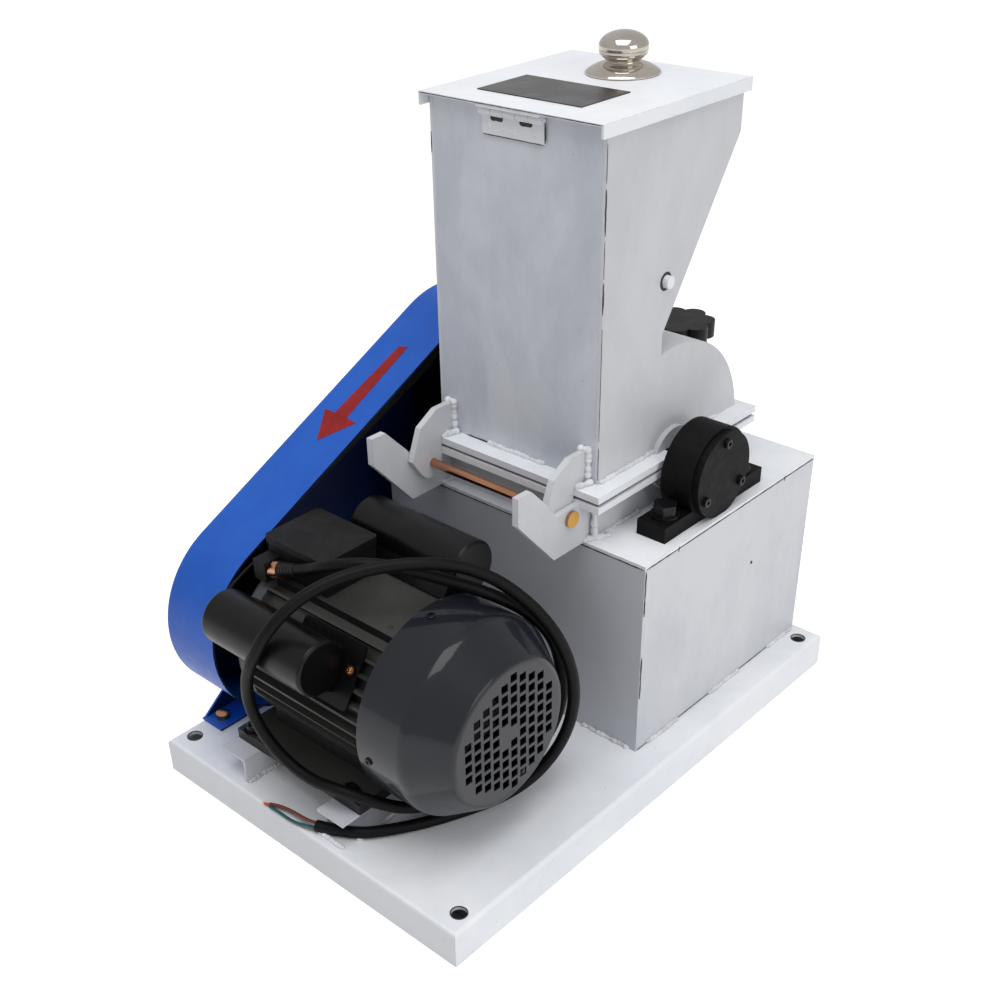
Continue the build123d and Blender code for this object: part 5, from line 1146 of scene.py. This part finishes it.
def build_arrow():
    """The red turning arrow on the guard's sloping band."""
    foot, along = Vector(BAND_FOOT), Vector(BAND_DIRECTION)
    normal = Vector((0, -along.z, along.y))
    rng = random.Random(SEED + 2)
    ring = []
    for (x0, t0), (x1, t1) in zip(ARROW_OUTLINE, ARROW_OUTLINE[1:] + ARROW_OUTLINE[:1]):
        steps = max(2, int(math.hypot(x1 - x0, t1 - t0) / ARROW_STEP))
        for i in range(steps):
            f = i / steps
            wander = rng.uniform(-ARROW_WANDER, ARROW_WANDER) if i else 0.0
            ring.append(Vector((x0 + (x1 - x0) * f + wander, 0, 0)) + foot
                        + along * (t0 + (t1 - t0) * f + wander))
    bm = bmesh.new()
    skin(bm, [[bm.verts.new(p * MM + normal * height) for p in ring]
              for height in (-SUNK, settings().trim.arrow_thickness)])
    bmesh.ops.triangulate(bm, faces=[f for f in bm.faces if len(f.verts) > 4])
    piece("guard_arrow", bm, "arrow_red", "base_frame")


# The floor glows white to the camera outside the base's footprint; lights have a name, a
# place and a side's length, and aim at the machine's middle.
FLOOR_COLOUR = (0.8, 0.8, 0.8, 1)
WHITE = (1, 1, 1, 1)
FLOOR_GLOW = 0.5
FOOTPRINT_SHARE = 0.98
LIGHTS = (("key_light", (0.3, -0.5, 2.4), 1.6), ("side_light", (2.0, -0.1, 1.1), 1.2))
LIGHT_AIM = Vector((0, 0, 0.25))


def white_floor():
    """The floor's material: pale, with a shadow, and white to the camera round the machine."""
    material = bpy.data.materials.new("floor_white")
    material.use_nodes = True
    tree = material.node_tree
    tree.nodes.clear()
    diffuse = add(tree, "ShaderNodeBsdfDiffuse", None, {"Color": FLOOR_COLOUR})
    path = tree.nodes.new("ShaderNodeLightPath")
    coord = tree.nodes.new("ShaderNodeTexCoord")
    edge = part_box("base_tray")[1]
    spread = add(tree, "ShaderNodeVectorMath", {"operation": "MULTIPLY"},
                 {0: coord.outputs["Object"], 1: (1 / edge.x, 1 / edge.y, 1)})
    parts = add(tree, "ShaderNodeSeparateXYZ", None, {0: spread.outputs[0]})
    farther = calc(tree, "MAXIMUM", calc(tree, "ABSOLUTE", parts.outputs["X"]),
                   calc(tree, "ABSOLUTE", parts.outputs["Y"]))
    outside = calc(tree, "GREATER_THAN", farther, FOOTPRINT_SHARE)
    seen = calc(tree, "MAXIMUM", path.outputs["Is Camera Ray"], path.outputs["Is Glossy Ray"])
    level = calc(tree, "MULTIPLY", calc(tree, "MULTIPLY", seen, outside), FLOOR_GLOW)
    glow = add(tree, "ShaderNodeEmission", None, {"Color": WHITE, "Strength": level})
    both = add(tree, "ShaderNodeAddShader", None, {0: diffuse.outputs[0], 1: glow.outputs[0]})
    add(tree, "ShaderNodeOutputMaterial", None, {"Surface": both.outputs[0]})
    return material


def build_stage():
    """Pale floor, soft lights and an even white world."""
    s = settings().stage
    half = s.floor_size
    mesh = bpy.data.meshes.new("floor")
    mesh.from_pydata([(-half, -half, 0), (half, -half, 0), (half, half, 0), (-half, half, 0)],
                     [], [(0, 1, 2, 3)])
    mesh.materials.append(white_floor())
    floor = bpy.data.objects.new("floor", mesh)
    bpy.context.scene.collection.objects.link(floor)
    for (name, place, size), power in zip(LIGHTS, (s.key_power, s.side_power)):
        light = bpy.data.lights.new(name, "AREA")
        light.size = size
        light.energy = power
        lamp = bpy.data.objects.new(name, light)
        bpy.context.scene.collection.objects.link(lamp)
        lamp.location = place
        aim = LIGHT_AIM - Vector(place)
        lamp.rotation_euler = aim.to_track_quat("-Z", "Y").to_euler()
    world = bpy.data.worlds.new("studio")
    bpy.context.scene.world = world
    world.use_nodes = True
    tree = world.node_tree
    tree.nodes.clear()
    path = tree.nodes.new("ShaderNodeLightPath")
    seen = calc(tree, "MAXIMUM", path.outputs["Is Camera Ray"], path.outputs["Is Transmission Ray"])
    level = ranged(tree, seen, 0.0, 1.0, s.world_level, 1.0)
    sky = add(tree, "ShaderNodeBackground", None, {"Color": WHITE, "Strength": level})
    add(tree, "ShaderNodeOutputWorld", None, {"Surface": sky.outputs[0]})
    bpy.context.scene.view_settings.view_transform = "Standard"


# Operators

class CRUSHER_OT_camera(bpy.types.Operator):
    """Add the camera at the photograph's place."""

    bl_idname = "crusher.camera"
    bl_label = "Camera"

    def execute(self, context):
        build_camera()
        return {"FINISHED"}


class CRUSHER_OT_finishes(bpy.types.Operator):
    """Make the materials and put them on the CAD nodes."""

    bl_idname = "crusher.finishes"
    bl_label = "Finishes"

    def execute(self, context):
        build_finishes()
        return {"FINISHED"}


class CRUSHER_OT_cord(bpy.types.Operator):
    """Add the motor's cord with its wires, and the capacitor's lead."""

    bl_idname = "crusher.cord"
    bl_label = "Cord"

    def execute(self, context):
        build_cord()
        return {"FINISHED"}


class CRUSHER_OT_knob(bpy.types.Operator):
    """Add the lid's turned knob."""

    bl_idname = "crusher.knob"
    bl_label = "Lid knob"

    def execute(self, context):
        build_knob()
        return {"FINISHED"}


class CRUSHER_OT_welds(bpy.types.Operator):
    """Add the weld beads."""

    bl_idname = "crusher.welds"
    bl_label = "Welds"

    def execute(self, context):
        build_welds()
        return {"FINISHED"}


class CRUSHER_OT_seams(bpy.types.Operator):
    """Add the dark seams and marks."""

    bl_idname = "crusher.seams"
    bl_label = "Seams"

    def execute(self, context):
        build_seams()
        return {"FINISHED"}


class CRUSHER_OT_screws(bpy.types.Operator):
    """Add the screws and bolts."""

    bl_idname = "crusher.screws"
    bl_label = "Screws"

    def execute(self, context):
        build_screws()
        return {"FINISHED"}


class CRUSHER_OT_arrow(bpy.types.Operator):
    """Add the red arrow on the guard."""

    bl_idname = "crusher.arrow"
    bl_label = "Arrow"

    def execute(self, context):
        build_arrow()
        return {"FINISHED"}


class CRUSHER_OT_stage(bpy.types.Operator):
    """Add the floor, lights and world."""

    bl_idname = "crusher.stage"
    bl_label = "Stage"

    def execute(self, context):
        build_stage()
        return {"FINISHED"}


OPERATORS = (CRUSHER_OT_camera, CRUSHER_OT_finishes, CRUSHER_OT_cord, CRUSHER_OT_knob,
             CRUSHER_OT_welds, CRUSHER_OT_seams, CRUSHER_OT_screws, CRUSHER_OT_arrow,
             CRUSHER_OT_stage)


class CRUSHER_PT_panel(bpy.types.Panel):
    """Buttons for each group of pieces."""

    bl_label = "Hammer crusher"
    bl_idname = "CRUSHER_PT_panel"
    bl_space_type = "VIEW_3D"
    bl_region_type = "UI"
    bl_category = "Crusher"

    def draw(self, context):
        for operator in OPERATORS:
            self.layout.operator(operator.bl_idname)
        for group, names in (("cord", ("diameter", "wire_diameter", "lead_diameter",
                                       "relief_length")),
                             ("weld", ("width", "pitch", "unevenness", "seed")),
                             ("trim", ("seam_width", "screw_radius", "arrow_thickness",
                                       "knob_segments")),
                             ("stage", ("floor_size", "key_power", "side_power",
                                        "world_level"))):
            for name in names:
                self.layout.prop(getattr(context.scene.crusher, group), name)


CLASSES = (CordSettings, WeldSettings, TrimSettings, StageSettings, CrusherSettings,
           *OPERATORS, CRUSHER_PT_panel)


def register():
    """Register the classes and the scene's settings."""
    for cls in CLASSES:
        bpy.utils.register_class(cls)
    bpy.types.Scene.crusher = PointerProperty(type=CrusherSettings)


def unregister():
    """Take the settings and the classes out again."""
    del bpy.types.Scene.crusher
    for cls in reversed(CLASSES):
        bpy.utils.unregister_class(cls)


def main():
    """Build the whole scene."""
    register()
    bpy.ops.crusher.camera()
    bpy.ops.crusher.finishes()
    bpy.ops.crusher.cord()
    bpy.ops.crusher.knob()
    bpy.ops.crusher.welds()
    bpy.ops.crusher.seams()
    bpy.ops.crusher.screws()
    bpy.ops.crusher.arrow()
    bpy.ops.crusher.stage()


if __name__ == "__main__":
    main()
